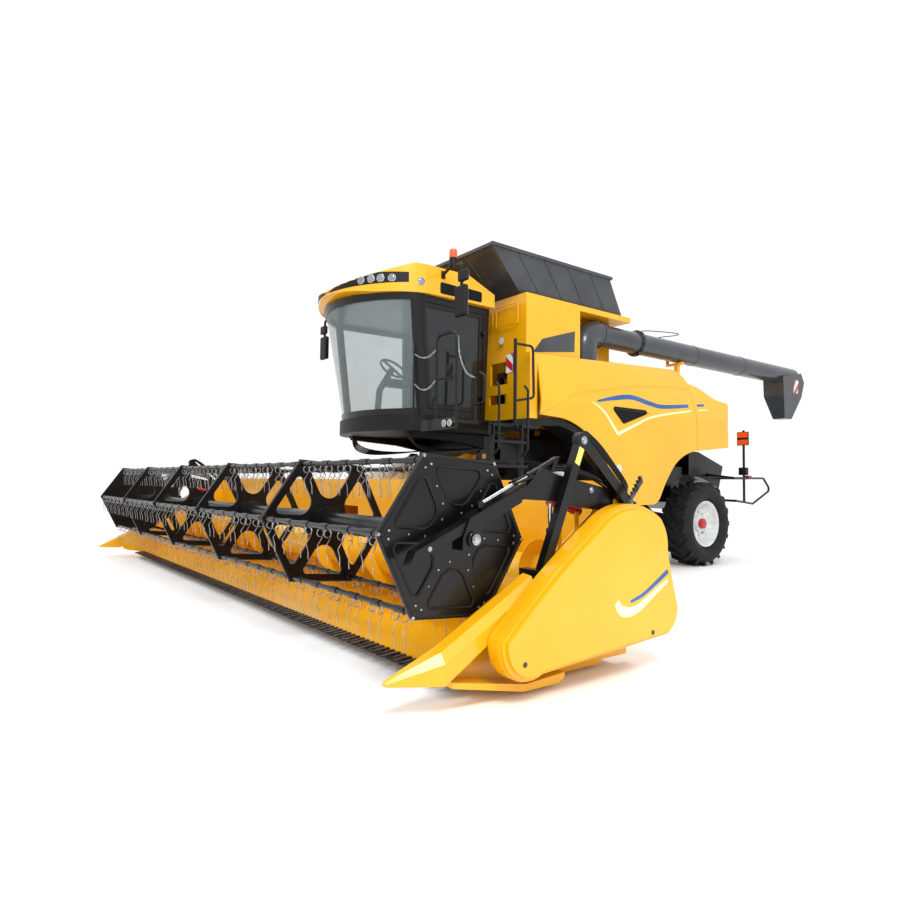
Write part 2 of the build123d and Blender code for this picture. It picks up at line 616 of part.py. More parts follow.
def chopper():
    """Black straw chopper and chaff spreader housing under the rear hood, with a wide sloping cover."""
    face = outline([(4250 + SEAT, 1990), (4250 + SEAT, 1900), (4150 + SEAT, RAIL_Z[0]), (4300, 1050), (4800, 900),
                    (5150, 1050), (5000, 1300), (4660, 1960)])
    cheek = outline([(4330, 1150), (4780, 1000), (5000, 1100), (4500, 1950), (4330, 1950)], 20)
    cover = outline([(4260, 1560), (4260, 1990), (4560, 1990), (5390, 1740), (5250, 1320), (4700, 1500)])
    housing = slab_x(face, (-660, 660)) + [slab_x(cheek, (650, 690)), slab_x(cheek, (-690, -650))]
    return housing + slab_x(cover, (-COVER_HALF, COVER_HALF))


def rear_guard():
    """Bent tube guard with its lamp posts behind the chopper."""
    rail = [(4950, 1100), (5550, 1040), (6200, 1300), (5950, 1520), (4900, 1510)]
    parts = []
    for side in (-1, 1):
        x = side * GUARD_X
        parts.append(pipe([(x, y, z) for y, z in rail], 20, 60))
        parts.append(rod((x, 5250, 1075), (x, 5250, 2400), 22))
        parts.append(block(sorted((x - 110, x + 110)), (5215, 5234), (2120, 2370)))
        for start, y, z, end_y, end_z in ((COVER_HALF, 4900, 1570, 4930, 1510), (690, 4760, 1120, 4980, 1097)):
            parts.append(rod((side * (start + SEAT + 14), y, z), (x, end_y, end_z), 22))
            parts.append(block(sorted((side * (start + SEAT), side * (start + 22))), (y - 50, y + 50), (z - 35, z + 35)))
    return rod((-GUARD_X, 5400, 1510), (GUARD_X, 5400, 1510), 20) + parts


def cab_plan(top, inset):
    """Cab outline at floor or roof: straight back and sides with a bowed front."""
    rear = CAB_REAR_Y + (30 if top else 0) - inset
    half = (1030 if top else 990) - inset
    wide = (1080 if top else 1030) - inset
    pillar = CAB_PILLAR_Y[1] if top else CAB_PILLAR_Y[0]
    nose = (-2420 if top else -2080) + inset
    plan = Line((-half, rear), (half, rear))
    plan += Line((half, rear), (wide, pillar))
    plan += ThreePointArc((wide, pillar), (0, nose), (-wide, pillar))
    plan += Line((-wide, pillar), (-half, rear))
    return make_face(plan)


def cab_volume(inset):
    """Space inside the cab's skin, taken in by the same depth all round."""
    low = Plane((0, 0, CAB_FLOOR_Z)) * cab_plan(False, inset)
    top = Plane((0, 0, CAB_TOP_Z)) * cab_plan(True, inset)
    return loft([low, top], ruled=True)


def cab_edge(name, inset):
    """Side-view outline of the windscreen or the door, taken in by a margin."""
    low, high = CAB_FLOOR_Z + 90 + inset, CAB_TOP_Z - 90 - inset
    slope = (CAB_PILLAR_Y[0] - CAB_PILLAR_Y[1]) / (CAB_TOP_Z - CAB_FLOOR_Z)
    def pillar(z, shift):
        return CAB_PILLAR_Y[0] - slope * (z - CAB_FLOOR_Z) + shift
    if name == "screen":
        ahead = -65 - inset
        return outline([(pillar(low, ahead), low), (-3000, low), (-3000, high), (pillar(high, ahead), high)])
    behind = 65 + inset
    rear = CAB_REAR_Y - 75 - inset
    return outline([(rear, low), (pillar(low, behind), low), (pillar(high, behind), high), (rear, high)])


def cab_shell():
    """Black cab frame: hollow, with pillars left between windscreen, door and side window."""
    core = cab_volume(CAB_SHELL)
    core = core & block((-2000, 2000), (-3000, 0), (CAB_FLOOR_Z + 60, CAB_TOP_Z - 40))
    shell = cab_volume(0) - core
    shell = shell - slab_x(cab_edge("screen", 0), (-2000, 2000))
    shell = shell - slab_x(cab_edge("door", 0), (-2000, 2000))
    rear_window = outline([(-800, 2950), (800, 2950), (800, 3600), (-800, 3600)], 60)
    shell = shell - slab_y(rear_window, (-750, -500))
    x, y = DOOR_HINGE
    parts = []
    for z in DOOR_HINGE_Z:
        parts.append(rod((x, y, z), (x, y, z + 30), 14))
        parts.append(rod((x, y, z), (x, y, z + 62), 9))
        parts.append(block((970, x), (y - 3, y + 12), (z, z + 30)))
    return shell + parts


def cab_skin():
    """Thin glass layer a little inside the outer face of the cab."""
    return cab_volume(14) - cab_volume(14 + GLASS)


def cab_glass():
    """Curved windscreen and right side window in their apertures."""
    skin = cab_skin()
    screen = skin & slab_x(cab_edge("screen", SEAT), (-2000, 2000))
    window = skin & slab_x(cab_edge("door", SEAT), (-2000, 0))
    rear = outline([(-800 + SEAT, 2950 + SEAT), (800 - SEAT, 2950 + SEAT), (800 - SEAT, 3600 - SEAT),
                    (-800 + SEAT, 3600 - SEAT)], 60)
    back = skin & slab_y(rear, (-750, -500))
    return [screen, window, back]


def cab_door():
    """Left cab door frame in its aperture."""
    frame = (cab_volume(4) - cab_volume(CAB_SHELL)) & slab_x(cab_edge("door", 8), (0, 2000))
    frame = frame - slab_x(cab_edge("door", 68), (0, 2000))
    x, y = DOOR_HINGE
    parts = []
    bores = []
    for z in DOOR_HINGE_Z:
        parts.append(rod((x, y, z + 32), (x, y, z + 62), 14))
        parts.append(block((972, x), (y - 30, y - 8), (z + 32, z + 62)))
        bores.append(rod((x, y, z + 20), (x, y, z + 80), 9 + RUNNING))
    return frame + parts - bores


def door_glass():
    """Tinted pane of the cab door."""
    return cab_skin() & slab_x(cab_edge("door", 68 + SEAT), (0, 2000))


def cab_roof():
    """Yellow roof, highest above the door's middle, that falls to a long visor ahead of the windscreen."""
    low = CAB_TOP_Z + SEAT
    rear = CAB_REAR_Y + 40
    nose = ROOF_NOSE_Y
    side = Line((rear, low), (nose + 270, low))
    side += Line((nose + 270, low), (nose + 40, 3830))
    side += ThreePointArc((nose + 40, 3830), (nose, 3885), (nose + 50, 3940))
    side += Polyline((nose + 50, 3940), (-1930, 4130), (-1450, 4285), (-1280, 4260), (rear, 3960), (rear, low))
    plan = Line((-ROOF_HALF, rear), (ROOF_HALF, rear))
    plan += Line((ROOF_HALF, rear), (ROOF_HALF, -1700))
    plan += ThreePointArc((ROOF_HALF, -1700), (0, nose), (-ROOF_HALF, -1700))
    plan += Line((-ROOF_HALF, -1700), (-ROOF_HALF, rear))
    front = Polyline((-ROOF_HALF, 4150), (-ROOF_HALF, low - 1), (ROOF_HALF, low - 1), (ROOF_HALF, 4150))
    front += ThreePointArc((ROOF_HALF, 4150), (0, 4290), (-ROOF_HALF, 4150))
    roof = slab_x(make_face(side), (-ROOF_HALF, ROOF_HALF)) & slab_z(make_face(plan), (3700, 4400))
    return roof & slab_y(make_face(front), (-3000, 0))


def cab_base():
    """Dark skirt and floor frame under the cab, carried on the body's front."""
    rear = -300.0
    plan = Line((-1060, rear), (1060, rear))
    plan += Line((1060, rear), (1060, CAB_PILLAR_Y[0]))
    plan += ThreePointArc((1060, CAB_PILLAR_Y[0]), (0, -2120), (-1060, CAB_PILLAR_Y[0]))
    plan += Line((-1060, CAB_PILLAR_Y[0]), (-1060, rear))
    bottom = BODY_TOP_Z + SEAT
    front = -450 - SEAT
    low = slab_z(make_face(plan), (bottom, CAB_FLOOR_Z - SEAT))
    carrier = outline([(front, bottom + 20), (front, 1860), (-900, 1930), (-1700, 1980), (-1750, bottom + 20)])
    return low + [slab_x(carrier, (700, 790)), slab_x(carrier, (-790, -700))]


def cab_seat():
    """Driver's seat: cushion, back and head rest on a pedestal."""
    seat = fillet(block((-250, 250), (-1250, -750), (2740, 2860)).edges(), 30)
    back = outline([(-775, 2840), (-885, 2840), (-800, 3420), (-700, 3420)], 20)
    pedestal = block((-160, 160), (-1150, -850), (CAB_FLOOR_Z + 60 + SEAT, 2750))
    return seat + [slab_x(back, (-240, 240)), pedestal]


def cab_console():
    """Steering column with its wheel, and the armrest console on the right."""
    floor = CAB_FLOOR_Z + 60 + SEAT
    column = pipe([(0, -1720, floor + 10), (0, -1690, 2650), (0, -1480, 2980)], 45, 80)
    foot = block((-70, 70), (-1790, -1650), (floor, floor + 20))
    ring = Plane((0, -1480, 2980), z_dir=(0, 0.55, 0.83)) * Torus(190, 16)
    spoke = Plane((0, -1480, 2980), z_dir=(0, 0.55, 0.83)) * Box(370, 40, 20)
    rest = block((-460, -330), (-1350, -800), (2780, 2900)) + block((-440, -350), (-1000, -850), (floor, 2790))
    return [column + ring + spoke + foot, rest]


def platform():
    """Driver's platform beside the cab, with gate, handrails, marker post and the ladder's hinge pin."""
    top = 2120.0
    gate = -1680.0
    hoop = -1385.0
    deck = block((1060 + SEAT, 1780), (gate - 10, -330), (2080, top))
    rail = 17.0
    x, y = LADDER_PIN
    return deck + [
        block((1060 + SEAT, 1780), (gate - 30, gate + 10), (2010, 2150)),
        block((1060 + SEAT, 1110), (gate - 30, -330), (2040, 2100)),
        pipe([(1350, gate, top), (1350, gate, 3185), (1755, gate, 3185), (1755, gate, top)], rail, 90),
        rod((1350, gate, 2640), (1755, gate, 2640), rail - 4),
        pipe([(1755, hoop, top), (1755, hoop, 2740), (1930, hoop, 2660), (1930, hoop, 2330), (1755, hoop, 2330)], rail, 60),
        rod((1700, -680, top - 5), (1700, -680, 3240), 22),
        pipe([(1700, -690, 3180), (1700, -365, 3180), (1700, -345, 2500), (1700, -690, 2430)], rail, 60),
        block((1560, 1695), (-712, -696), (2795, 3050)),
        block((1770, x + 24), (y - 30, y + 30), (2080, top)),
        rod((x, y, 1950), (x, y, top - 10), 14),
    ]


def ladder():
    """Access ladder: two stringers with flat steps and handrails, swinging about a pin beside the deck."""
    x, y0 = LADDER_PIN
    parts = []
    for y in (-1180, -700):
        parts.append(beam((x, y, 560), (x, y, 2110), 60, 24))
        parts.append(pipe([(1860, y, 1700), (1960, y, 1800), (1960, y, 2540), (1900, y, 2600)], 15, 40))
    for i in range(5):
        parts.append(block((1808, 1960), (-1190, -690), (660 + 300 * i, 695 + 300 * i)))
    parts.append(block((x - 12, x + 12), (y0, -1180), (1975, 2060)))
    knuckle = rod((x, y0, 1970), (x, y0, 2065), 28) + parts
    return knuckle - rod((x, y0, 1900), (x, y0, 2100), 14 + RUNNING)


def unload_elbow():
    """Dark fixed foot of the unloading auger, standing in the tank's recess."""
    foot = TANK_Z[0] + WALL + SEAT
    tube = rod((ELBOW_X, ELBOW_Y, foot), (ELBOW_X, ELBOW_Y, ELBOW_FOOT_Z), ELBOW_R - 5)
    return tube + [rod((ELBOW_X, ELBOW_Y, foot), (ELBOW_X, ELBOW_Y, foot + 20), ELBOW_R + 8)]


def unload_tube():
    """Swinging unloading auger: cast elbow, flanged tube that droops a little, and a tapering drop spout."""
    bend = 230.0
    turn = Pos(ELBOW_X, ELBOW_Y, 0) * Rot(0, 0, -AUGER_TURN)
    path = Line((0, 0, ELBOW_FOOT_Z + SEAT), (0, 0, AUGER_Z - bend))
    path += ThreePointArc((0, 0, AUGER_Z - bend), (0, bend * (1 - cos(pi / 4)), AUGER_Z - bend * (1 - sin(pi / 4))),
                          (0, bend, AUGER_Z))
    path += Line((0, bend, AUGER_Z), (0, ELBOW_END, AUGER_Z))
    casting = sweep(Plane(path @ 0, z_dir=path % 0) * Circle(ELBOW_R), path=path)
    def axis_z(y):
        return AUGER_Z - AUGER_DROOP * (y - ELBOW_END)
    end = AUGER_REACH
    parts = [rod((0, ELBOW_END - 10, AUGER_Z), (0, end, axis_z(end)), AUGER_R)]
    for y in (ELBOW_END, 1180):
        parts.append(rod((0, y - 14, axis_z(y)), (0, y + 14, axis_z(y)), AUGER_R + 40))
    z = axis_z(end)
    head = outline([(end - 620, z - 60), (end + 40, z + 60), (end + 150, z - 120), (end + 40, z - 420),
                    (end - 600, z - 420)])
    parts.append(slab_x(head, (-205, 205)))
    top = Plane((0, end - 280, z - 419)) * Rectangle(410, 640)
    mouth = Plane((0, end - 305, z - 860)) * Rectangle(240, 250)
    parts.append(loft([top, mouth], ruled=True))
    return turn * (casting + parts)


def mirrors():
    """Mirror arm on the roof's side, with a mirror head, a wide-angle mirror and a flashing lamp."""
    root = -1440.0
    x, y = MIRROR
    arm = pipe([(ROOF_HALF + 14, root, 4066), (1414, -1529, 4080), (x, y, 3988), (x, y, 3692)], 20, 60)
    foot = block((ROOF_HALF + SEAT, ROOF_HALF + 22), (root - 25, root + 25), (4010, 4110))
    head = fillet(block((x - 102, x + 103), (y - 38, y + 29), (3348, 3721)).edges(), 25)
    small = fillet(block((x - 48, x + 114), (y - 33, y + 29), (3768, 3902)).edges(), 20)
    beacon = rod((1507, -1560, 4050), (1507, -1560, 4160), 48)
    return arm + [foot, head, small, beacon]


def feeder_house():
    """Sloping feeder channel between the cutting table and the threshing body, with its pivot stubs."""
    front = TABLE_BACK_Y + 30 + SEAT
    side = outline([(-470, 1760), (-470, 1000), (-600, 960), (-2230, 330), (front, 330), (front, 1175),
                    (-2230, 1195), (-640, 1785)])
    channel = outline([(-300, 1640), (-300, 1120), (-560, 1080), (-2400, 420), (-2400, 1090), (-640, 1680)])
    body = slab_x(side, (-FEEDER_HALF, FEEDER_HALF)) - slab_x(channel, (-FEEDER_HALF + 40, FEEDER_HALF - 40))
    ear = outline([(LIFT_HEAD[0] - 130, 690), (LIFT_HEAD[0] - 70, LIFT_HEAD[1] - 20), (LIFT_HEAD[0] + 60, LIFT_HEAD[1] - 30),
                   (LIFT_HEAD[0] + 150, 580)], 20)
    parts = []
    for side in (-1, 1):
        parts.append(rod((side * (FEEDER_HALF - 30), *FEEDER_PIVOT), (side * 900, *FEEDER_PIVOT), FEEDER_SHAFT_R))
        for x in (side * LIFT_X - 66, side * LIFT_X + 48):
            parts.append(slab_x(ear, (x, x + 18)))
    return body + parts


def table_frame():
    """Yellow cutting table: back wall with top beam, curved trough floor and skids."""
    back_y = TABLE_BACK_Y
    back = [(back_y, 150), (back_y, TABLE_TOP_Z), (back_y + 150, TABLE_TOP_Z), (back_y + 150, TABLE_TOP_Z - 150),
            (back_y + 30, TABLE_TOP_Z - 170), (back_y + 30, 150)]
    wall = slab_x(outline(back), (-TABLE_HALF, TABLE_HALF))
    mouth = block((-FEEDER_HALF + 50, FEEDER_HALF - 50), (back_y - 60, back_y + 60), (430, 1060))
    y_a, z_a = AUGER_AXIS
    r = FLIGHT_R + 40
    floor = Polyline((back_y + 30, 180), (back_y + 30, 60), (KNIFE_Y, 60), (KNIFE_Y, 95), (y_a - 340, 180))
    floor += ThreePointArc((y_a - 340, 180), (y_a, z_a - r), (y_a + r * 0.92, z_a - r * 0.39))
    floor += Polyline((y_a + r * 0.92, z_a - r * 0.39), (back_y + 1, z_a - 160), (back_y + 30, z_a - 160),
                      (back_y + 30, 180))
    skid = outline([(-3690, 62), (-3330, 22), (-2500, 22), (-2420, 62)])
    parts = [slab_x(make_face(floor), (-TABLE_HALF, TABLE_HALF))]
    for side in (-1, 1):
        parts.append(slab_x(skid, sorted((side * (TABLE_HALF - 160), side * TABLE_HALF))))
    return wall + parts - mouth


def table_end():
    """End plate of the table, with the reel arm's pivot, the reel ram's pin, the shield's stand-offs and a sole."""
    back_y = TABLE_BACK_Y
    inner, outer = TABLE_HALF + SEAT, TABLE_HALF + END_PLATE
    face = outline([(back_y + 150, 60), (-3500, 60), (-3950, 130), (-4060, 200), (-4060, 260), (-3250, 700),
                    (-2600, 1150), (back_y - 30, TABLE_TOP_Z), (back_y + 150, TABLE_TOP_Z)])
    face = face - Pos(*AUGER_AXIS) * Circle(AUGER_SHAFT_R + RUNNING)
    pivot = outline([(ARM_PIVOT[0] - 90, TABLE_TOP_Z - 170), (ARM_PIVOT[0] - 70, ARM_PIVOT[1] + 80),
                     (ARM_PIVOT[0] + 70, ARM_PIVOT[1] + 80), (back_y + 60, TABLE_TOP_Z - 60),
                     (back_y + 60, 900), (ARM_PIVOT[0] - 90, 1000)])
    sole = outline([(-4000, 185), (-4000, 150), (-3420, 30), (-3100, 30), (-3040, 60), (-3040, 95), (-3400, 75)])
    parts = [slab_x(pivot, (outer - 6, PIVOT_FACE_X)), slab_x(sole, (outer - 6, outer + 160)),
             rod((outer - 6, *ARM_PIVOT), (ARM_X[1] + 5, *ARM_PIVOT), 30),
             rod((outer - 6, *REEL_RAM_FOOT), (ARM_X[1] + 5, *REEL_RAM_FOOT), 14)]
    for y, z in ((-2250, 500), (-3000, 330)):
        parts.append(rod((outer - 6, y, z), (SHIELD_X[1] - 20 - SEAT, y, z), 25))
    return slab_x(face, (inner, outer)) + parts


def knife():
    """Black cutter bar: a slotted bar with a row of guard fingers."""
    half = TABLE_HALF - 60 - SEAT
    rear = KNIFE_Y - SEAT
    bar = block((-half, half), (rear - 60, rear), (70, 92))
    finger = outline([(rear - 30, 58), (rear - 150, 82), (rear - 165, 94), (rear - 30, 108)])
    count = 60
    fingers = []
    for i in range(count):
        x = -half + (i + 0.5) * 2 * half / count
        fingers.append(slab_x(finger, (x - 11, x + 11)))
    return bar + fingers


def divider():
    """Yellow pointed crop divider outside the front of an end plate."""
    inner = TABLE_HALF + END_PLATE + SEAT
    half = 89.0
    def section(y, low, high):
        plane = Plane((inner + half, y, 0), x_dir=(1, 0, 0), z_dir=(0, -1, 0))
        face = outline([(-half, low), (-half, high - 30), (-half * 0.4, high), (half * 0.5, high - 10),
                        (half, high - 70), (half, low)])
        return plane * face
    tip = Plane((inner + 20, -4390, 0), x_dir=(1, 0, 0), z_dir=(0, -1, 0)) * outline(
        [(-20, 196), (-20, 214), (-8, 226), (10, 223), (20, 210), (20, 196)])
    return loft([section(-3335, 622, 772), section(-4070, 178, 378), tip], ruled=True)


def end_shield():
    """Large rounded yellow end cover outside the table's end plate, open towards it."""
    edge = ThreePointArc((-3745, 425), (-3279, 816), (-2869, 1100))
    edge += ThreePointArc((-2869, 1100), (-2503, 1233), (-2153, 1127))
    edge += ThreePointArc((-2153, 1127), (-2095, 1030), (-2075, 888))
    edge += ThreePointArc((-2075, 888), (-2023, 680), (-1955, 480))
    edge += ThreePointArc((-1955, 480), (-1980, 340), (-2080, 247))
    edge += Line((-2080, 247), (-3400, 163))
    edge += ThreePointArc((-3400, 163), (-3692, 225), (-3745, 425))
    face = make_face(edge)
    x0, x1 = SHIELD_X
    body = slab_x(face, (x0, x1 - 55)) + slab_x(offset(face, -12), (x1 - 56, x1 - 25))
    body = body + slab_x(offset(face, -40), (x1 - 26, x1))
    return body - slab_x(offset(face, -20), (x0 - 1, x1 - 60)) - slab_x(offset(face, -62), (x1 - 61, x1 - 20))


def side_frame():
    """Black prop and diagonal beam that stand over the end of the table, with their two brackets."""
    x = SIDE_FRAME_X
    half = 30.0
    outer = TABLE_HALF + END_PLATE + SEAT
    foot, apex, heel = (-3290, 700), (-2875, 1680), (-2320, 1195)
    parts = [beam((x, *apex), (x, *heel), 2 * half, 80), rod((x - half, *apex), (x + half, *apex), 58),
             block((outer, x + half), (foot[0] - 30, foot[0] + 40), (540, 800)),
             block((PIVOT_FACE_X + SEAT, x + half), (-2350, -2290), (1165, 1245))]
    return beam((x, *foot), (x, *apex), 2 * half, 70) + parts


def table_auger():
    """Yellow intake auger: a long tube with flights of both hands and retractable fingers."""
    end = TABLE_HALF - 12
    parts = [rod((-TABLE_HALF - 10, *AUGER_AXIS), (TABLE_HALF + 10, *AUGER_AXIS), AUGER_SHAFT_R)]
    for i in range(12):
        x = -550 + i * 100
        angle = radians(i * 110)
        y, z = AUGER_AXIS[0] + 320 * cos(angle), AUGER_AXIS[1] + 320 * sin(angle)
        parts.append(rod((x, *AUGER_AXIS), (x, y, z), 10))
    return rod((-end, *AUGER_AXIS), (end, *AUGER_AXIS), FLIGHT_TUBE_R) + parts


def lift_parts():
    """Two hydraulic rams under the feeder: barrels at the axle, rods at the feeder."""
    barrels, rods = [], []
    for side in (-1, 1):
        x = side * LIFT_X
        foot, head = Vector(x, *LIFT_FOOT), Vector(x, *LIFT_HEAD)
        direction = (head - foot).normalized()
        mouth = foot + direction * 720
        eye = rod((x - 62, *LIFT_FOOT), (x + 62, *LIFT_FOOT), 62)
        barrel = rod(tuple(foot), tuple(mouth), 62) + eye
        bores = [rod(tuple(foot + direction * 90), tuple(mouth + direction * 10), 40 + RUNNING),
                 rod((x - 70, *LIFT_FOOT), (x + 70, *LIFT_FOOT), 25 + RUNNING)]
        barrels.append(barrel - bores)
        rods.append(rod(tuple(foot + direction * 120), tuple(head), 40)
                    + rod((x - 40, *LIFT_HEAD), (x + 40, *LIFT_HEAD), 50))
    return barrels, rods


ARM_SLOPE = (-917.0 / 1000.0, -399.0 / 1000.0)


def arm_point(along, above):
    """A (y, z) point on the reel arm, measured along it from ARM_START and square to it."""
    y = ARM_START[0] + ARM_SLOPE[0] * along - ARM_SLOPE[1] * above
    z = ARM_START[1] + ARM_SLOPE[1] * along + -ARM_SLOPE[0] * above
    return (y, z)


def reel_arms():
    """Black reel arms: a casting from the pivot, then a straight channel that points down and forward."""
    channel = outline([arm_point(-520, 50), arm_point(480, 50), arm_point(480, 140), arm_point(-520, 140)])
    casting = outline([(ARM_PIVOT[0] + 75, ARM_PIVOT[1] - 70), (ARM_PIVOT[0] + 75, ARM_PIVOT[1] + 70),
                       (ARM_PIVOT[0] - 250, 1370), (-3050, 1430), arm_point(-600, 230), arm_point(-500, 150),
                       arm_point(-500, 40), (-3060, 1250), (ARM_PIVOT[0] - 250, 1190)])
    solid = slab_x(channel, ARM_X) + slab_x(casting, ARM_X)
    solid = solid - rod((ARM_X[0] - 50, *ARM_PIVOT), (ARM_X[1] + 50, *ARM_PIVOT), 30 + RUNNING)
    return solid


def reel_carriages():
    """Sliding box on each arm that carries the reel's bearing."""
    x0, x1 = ARM_X
    wall = 14.0
    outer = outline([arm_point(-470, 30), arm_point(60, 30), arm_point(60, 160), arm_point(-470, 160)])
    inner = outline([arm_point(-500, 50 - SEAT), arm_point(100, 50 - SEAT), arm_point(100, 140 + SEAT),
                     arm_point(-500, 140 + SEAT)])
    box = slab_x(outer, (x0 - wall, x1 + wall)) - slab_x(inner, (x0 - SEAT, x1 + SEAT))
    drop = outline([arm_point(-130, 31), arm_point(60, 31), arm_point(20, -70), arm_point(-90, -70)])
    box = box + slab_x(drop, (x0 - wall, x1 + wall))
    stub = rod((REEL_HALF - 90, *REEL_AXIS), (x0, *REEL_AXIS), 34)
    return box + stub


def reel_lift():
    """Upright reel rams at the table's ends: barrel on the end plate, rod under the arm."""
    x = (ARM_X[0] + ARM_X[1]) / 2
    foot, head = Vector(x, *REEL_RAM_FOOT), Vector(x, *REEL_RAM_HEAD)
    direction = (head - foot).normalized()
    mouth = foot + direction * 340
    barrel = rod(tuple(foot), tuple(mouth), 30) + rod((x - 25, *REEL_RAM_FOOT), (x + 25, *REEL_RAM_FOOT), 34)
    bores = [rod(tuple(foot + direction * 45), tuple(mouth + direction * 10), 16 + RUNNING),
             rod((x - 30, *REEL_RAM_FOOT), (x + 30, *REEL_RAM_FOOT), 14 + RUNNING)]
    return barrel - bores, rod(tuple(foot + direction * 72), tuple(head), 16)


def hexagon(radius):
    """Corner points of the reel's hexagon about its axis, first one towards the front."""
    corners = []
    for i in range(6):
        angle = radians(REEL_TURN + 60 * i)
        corners.append((REEL_AXIS[0] + radius * cos(angle), REEL_AXIS[1] + radius * sin(angle)))
    return corners


def reel_opening():
    """Rounded triangle between two spokes of the reel's hexagon, pointing back at the hub."""
    depth = (REEL_BAR_R + REEL_CORNER) * cos(pi / 6) - REEL_RIM
    apex = REEL_SPOKE / 2 / sin(pi / 6)
    half = (depth - apex) * tan(pi / 6)
    face = make_face(Polyline((apex, 0), (depth, -half), (depth, half), close=True))
    face = fillet(face.vertices().sort_by(Axis.X)[0], 110)
    return fillet(face.vertices().sort_by(Axis.X)[-2:], 35)


def reel():
    """Reel: centre tube, hexagonal end plates with pressed fields and open hexagonal spiders."""
    pitch = 2 * (REEL_HALF - 10) / REEL_BAYS
    field = reel_opening()
    fields = [Pos(*REEL_AXIS) * Rot(0, 0, REEL_TURN + 30 + 60 * k) * field for k in range(6)]
    discs = []
    for i in range(REEL_BAYS + 1):
        x = -REEL_HALF + 10 + i * pitch
        plate = outline(hexagon(REEL_BAR_R + REEL_CORNER))
        for y, z in hexagon(REEL_BAR_R):
            plate = plate - Pos(y, z) * Circle(TINE_BAR_R + RUNNING)
        if 0 < i < REEL_BAYS:
            discs.append(slab_x(plate - fields, (x - 10, x + 10)))
        else:
            outside = x - 10 if i == 0 else x + 10
            disc = slab_x(plate, (x - 10, x + 10))
            discs.append(disc - [slab_x(hole, (outside - 5, outside + 5)) for hole in fields])
    body = rod((-REEL_HALF + 20, *REEL_AXIS), (REEL_HALF - 20, *REEL_AXIS), REEL_TUBE_R) + discs
    journals = [rod((side * (REEL_HALF - 92), *REEL_AXIS), (side * (REEL_HALF + 50), *REEL_AXIS), 34 + RUNNING)
                for side in (-1, 1)]
    return body - journals


def tine_bar():
    """One tine bar about the origin: a tube through all spiders, with double tines that hang down."""
    step = 2 * (REEL_HALF - 10) / REEL_BAYS / TINES_PER_BAY
    leg = outline([(-6, -16), (6, -16), (-14, -130), (10, -TINE_LENGTH), (2, -TINE_LENGTH), (-24, -130)])
    tines = []
    for k in range(REEL_BAYS * TINES_PER_BAY):
        x = -REEL_HALF + 10 + (k + 0.5) * step
        for dx in (-55, 55):
            tines.append(slab_x(leg, (x + dx - 4, x + dx + 4)))
    return rod((-REEL_HALF - 5, 0, 0), (REEL_HALF + 5, 0, 0), TINE_BAR_R) + tines


nodes = {
    "main_frame": main_frame(),
    "front_axle": front_axle(),
    "track_belt_left": track_belt(),
    "track_drive_wheels": both_sides(track_drive_wheel()),
    "track_gear": both_sides(track_gear()),
    "rear_axle": rear_axle(),
    "knuckle_left": knuckle(1),
    "knuckle_right": knuckle(-1),
    "tie_rod": tie_rod(),
    "tyre_left": tyre(1),
    "rim_left": rim(1),
    "rim_right": rim(-1),
    "thresher_body": thresher_body(),
    "front_wall": front_wall(),
    "front_fenders": both_sides(front_fender()),
    "grain_tank": grain_tank(),
    "tank_extension": tank_extension(),
    "engine": engine(),
    "engine_deck": engine_deck(),
    "rear_hood": rear_hood(),
    "chopper": chopper(),
    "rear_guard": rear_guard(),
    "cab_shell": cab_shell(),
    "cab_glass": cab_glass(),
    "cab_door": cab_door(),
    "door_glass": door_glass(),
    "cab_roof": cab_roof(),
    "cab_base": cab_base(),
    "cab_seat": cab_seat(),
    "cab_console": cab_console(),
    "platform": platform(),
    "ladder": ladder(),
    "unload_elbow": unload_elbow(),
    "unload_tube": unload_tube(),
    "mirrors": both_sides(mirrors()),
    "feeder_house": feeder_house(),
    "table_frame": table_frame(),
    "table_ends": both_sides(table_end()),
    "knife": knife(),
    "end_shields": both_sides(divider()) + both_sides(end_shield()),
    "side_frames": both_sides(side_frame()),
    "table_auger": table_auger(),
    "reel_arms": both_sides(reel_arms()),
    "reel_carriages": both_sides(reel_carriages()),
    "reel": reel(),
}
nodes["track_belt_right"] = mirror(nodes["track_belt_left"], about=Plane.YZ)
nodes["tyre_right"] = mirror(nodes["tyre_left"], about=Plane.YZ)
nodes["side_panel_left"] = side_panel()
nodes["side_panel_right"] = mirror(nodes["side_panel_left"], about=Plane.YZ)
nodes["lift_barrels"], nodes["lift_rods"] = lift_parts()
reel_barrel, reel_ram = reel_lift()
nodes["reel_lift_barrels"] = both_sides(reel_barrel)
nodes["reel_lift_rods"] = both_sides(reel_ram)
bar = tine_bar()
for number, (y, z) in enumerate(hexagon(REEL_BAR_R), start=1):
    nodes[f"tine_bar_{number}"] = Pos(0, y, z) * bar

for name, shape in nodes.items():
    pieces = shape if isinstance(shape, list) else [shape]
    solids = [Pos(0, -MIDDLE_Y, 0) * solid for piece in pieces for solid in piece.solids()]
    whole = Compound(children=solids) if len(solids) > 1 else solids[0]
    export_step(whole, f"parts/{name}.step")
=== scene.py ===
import json
from math import cos, pi, radians, sin, sqrt

import bmesh
import bpy
import numpy as np
from mathutils import Matrix, Vector


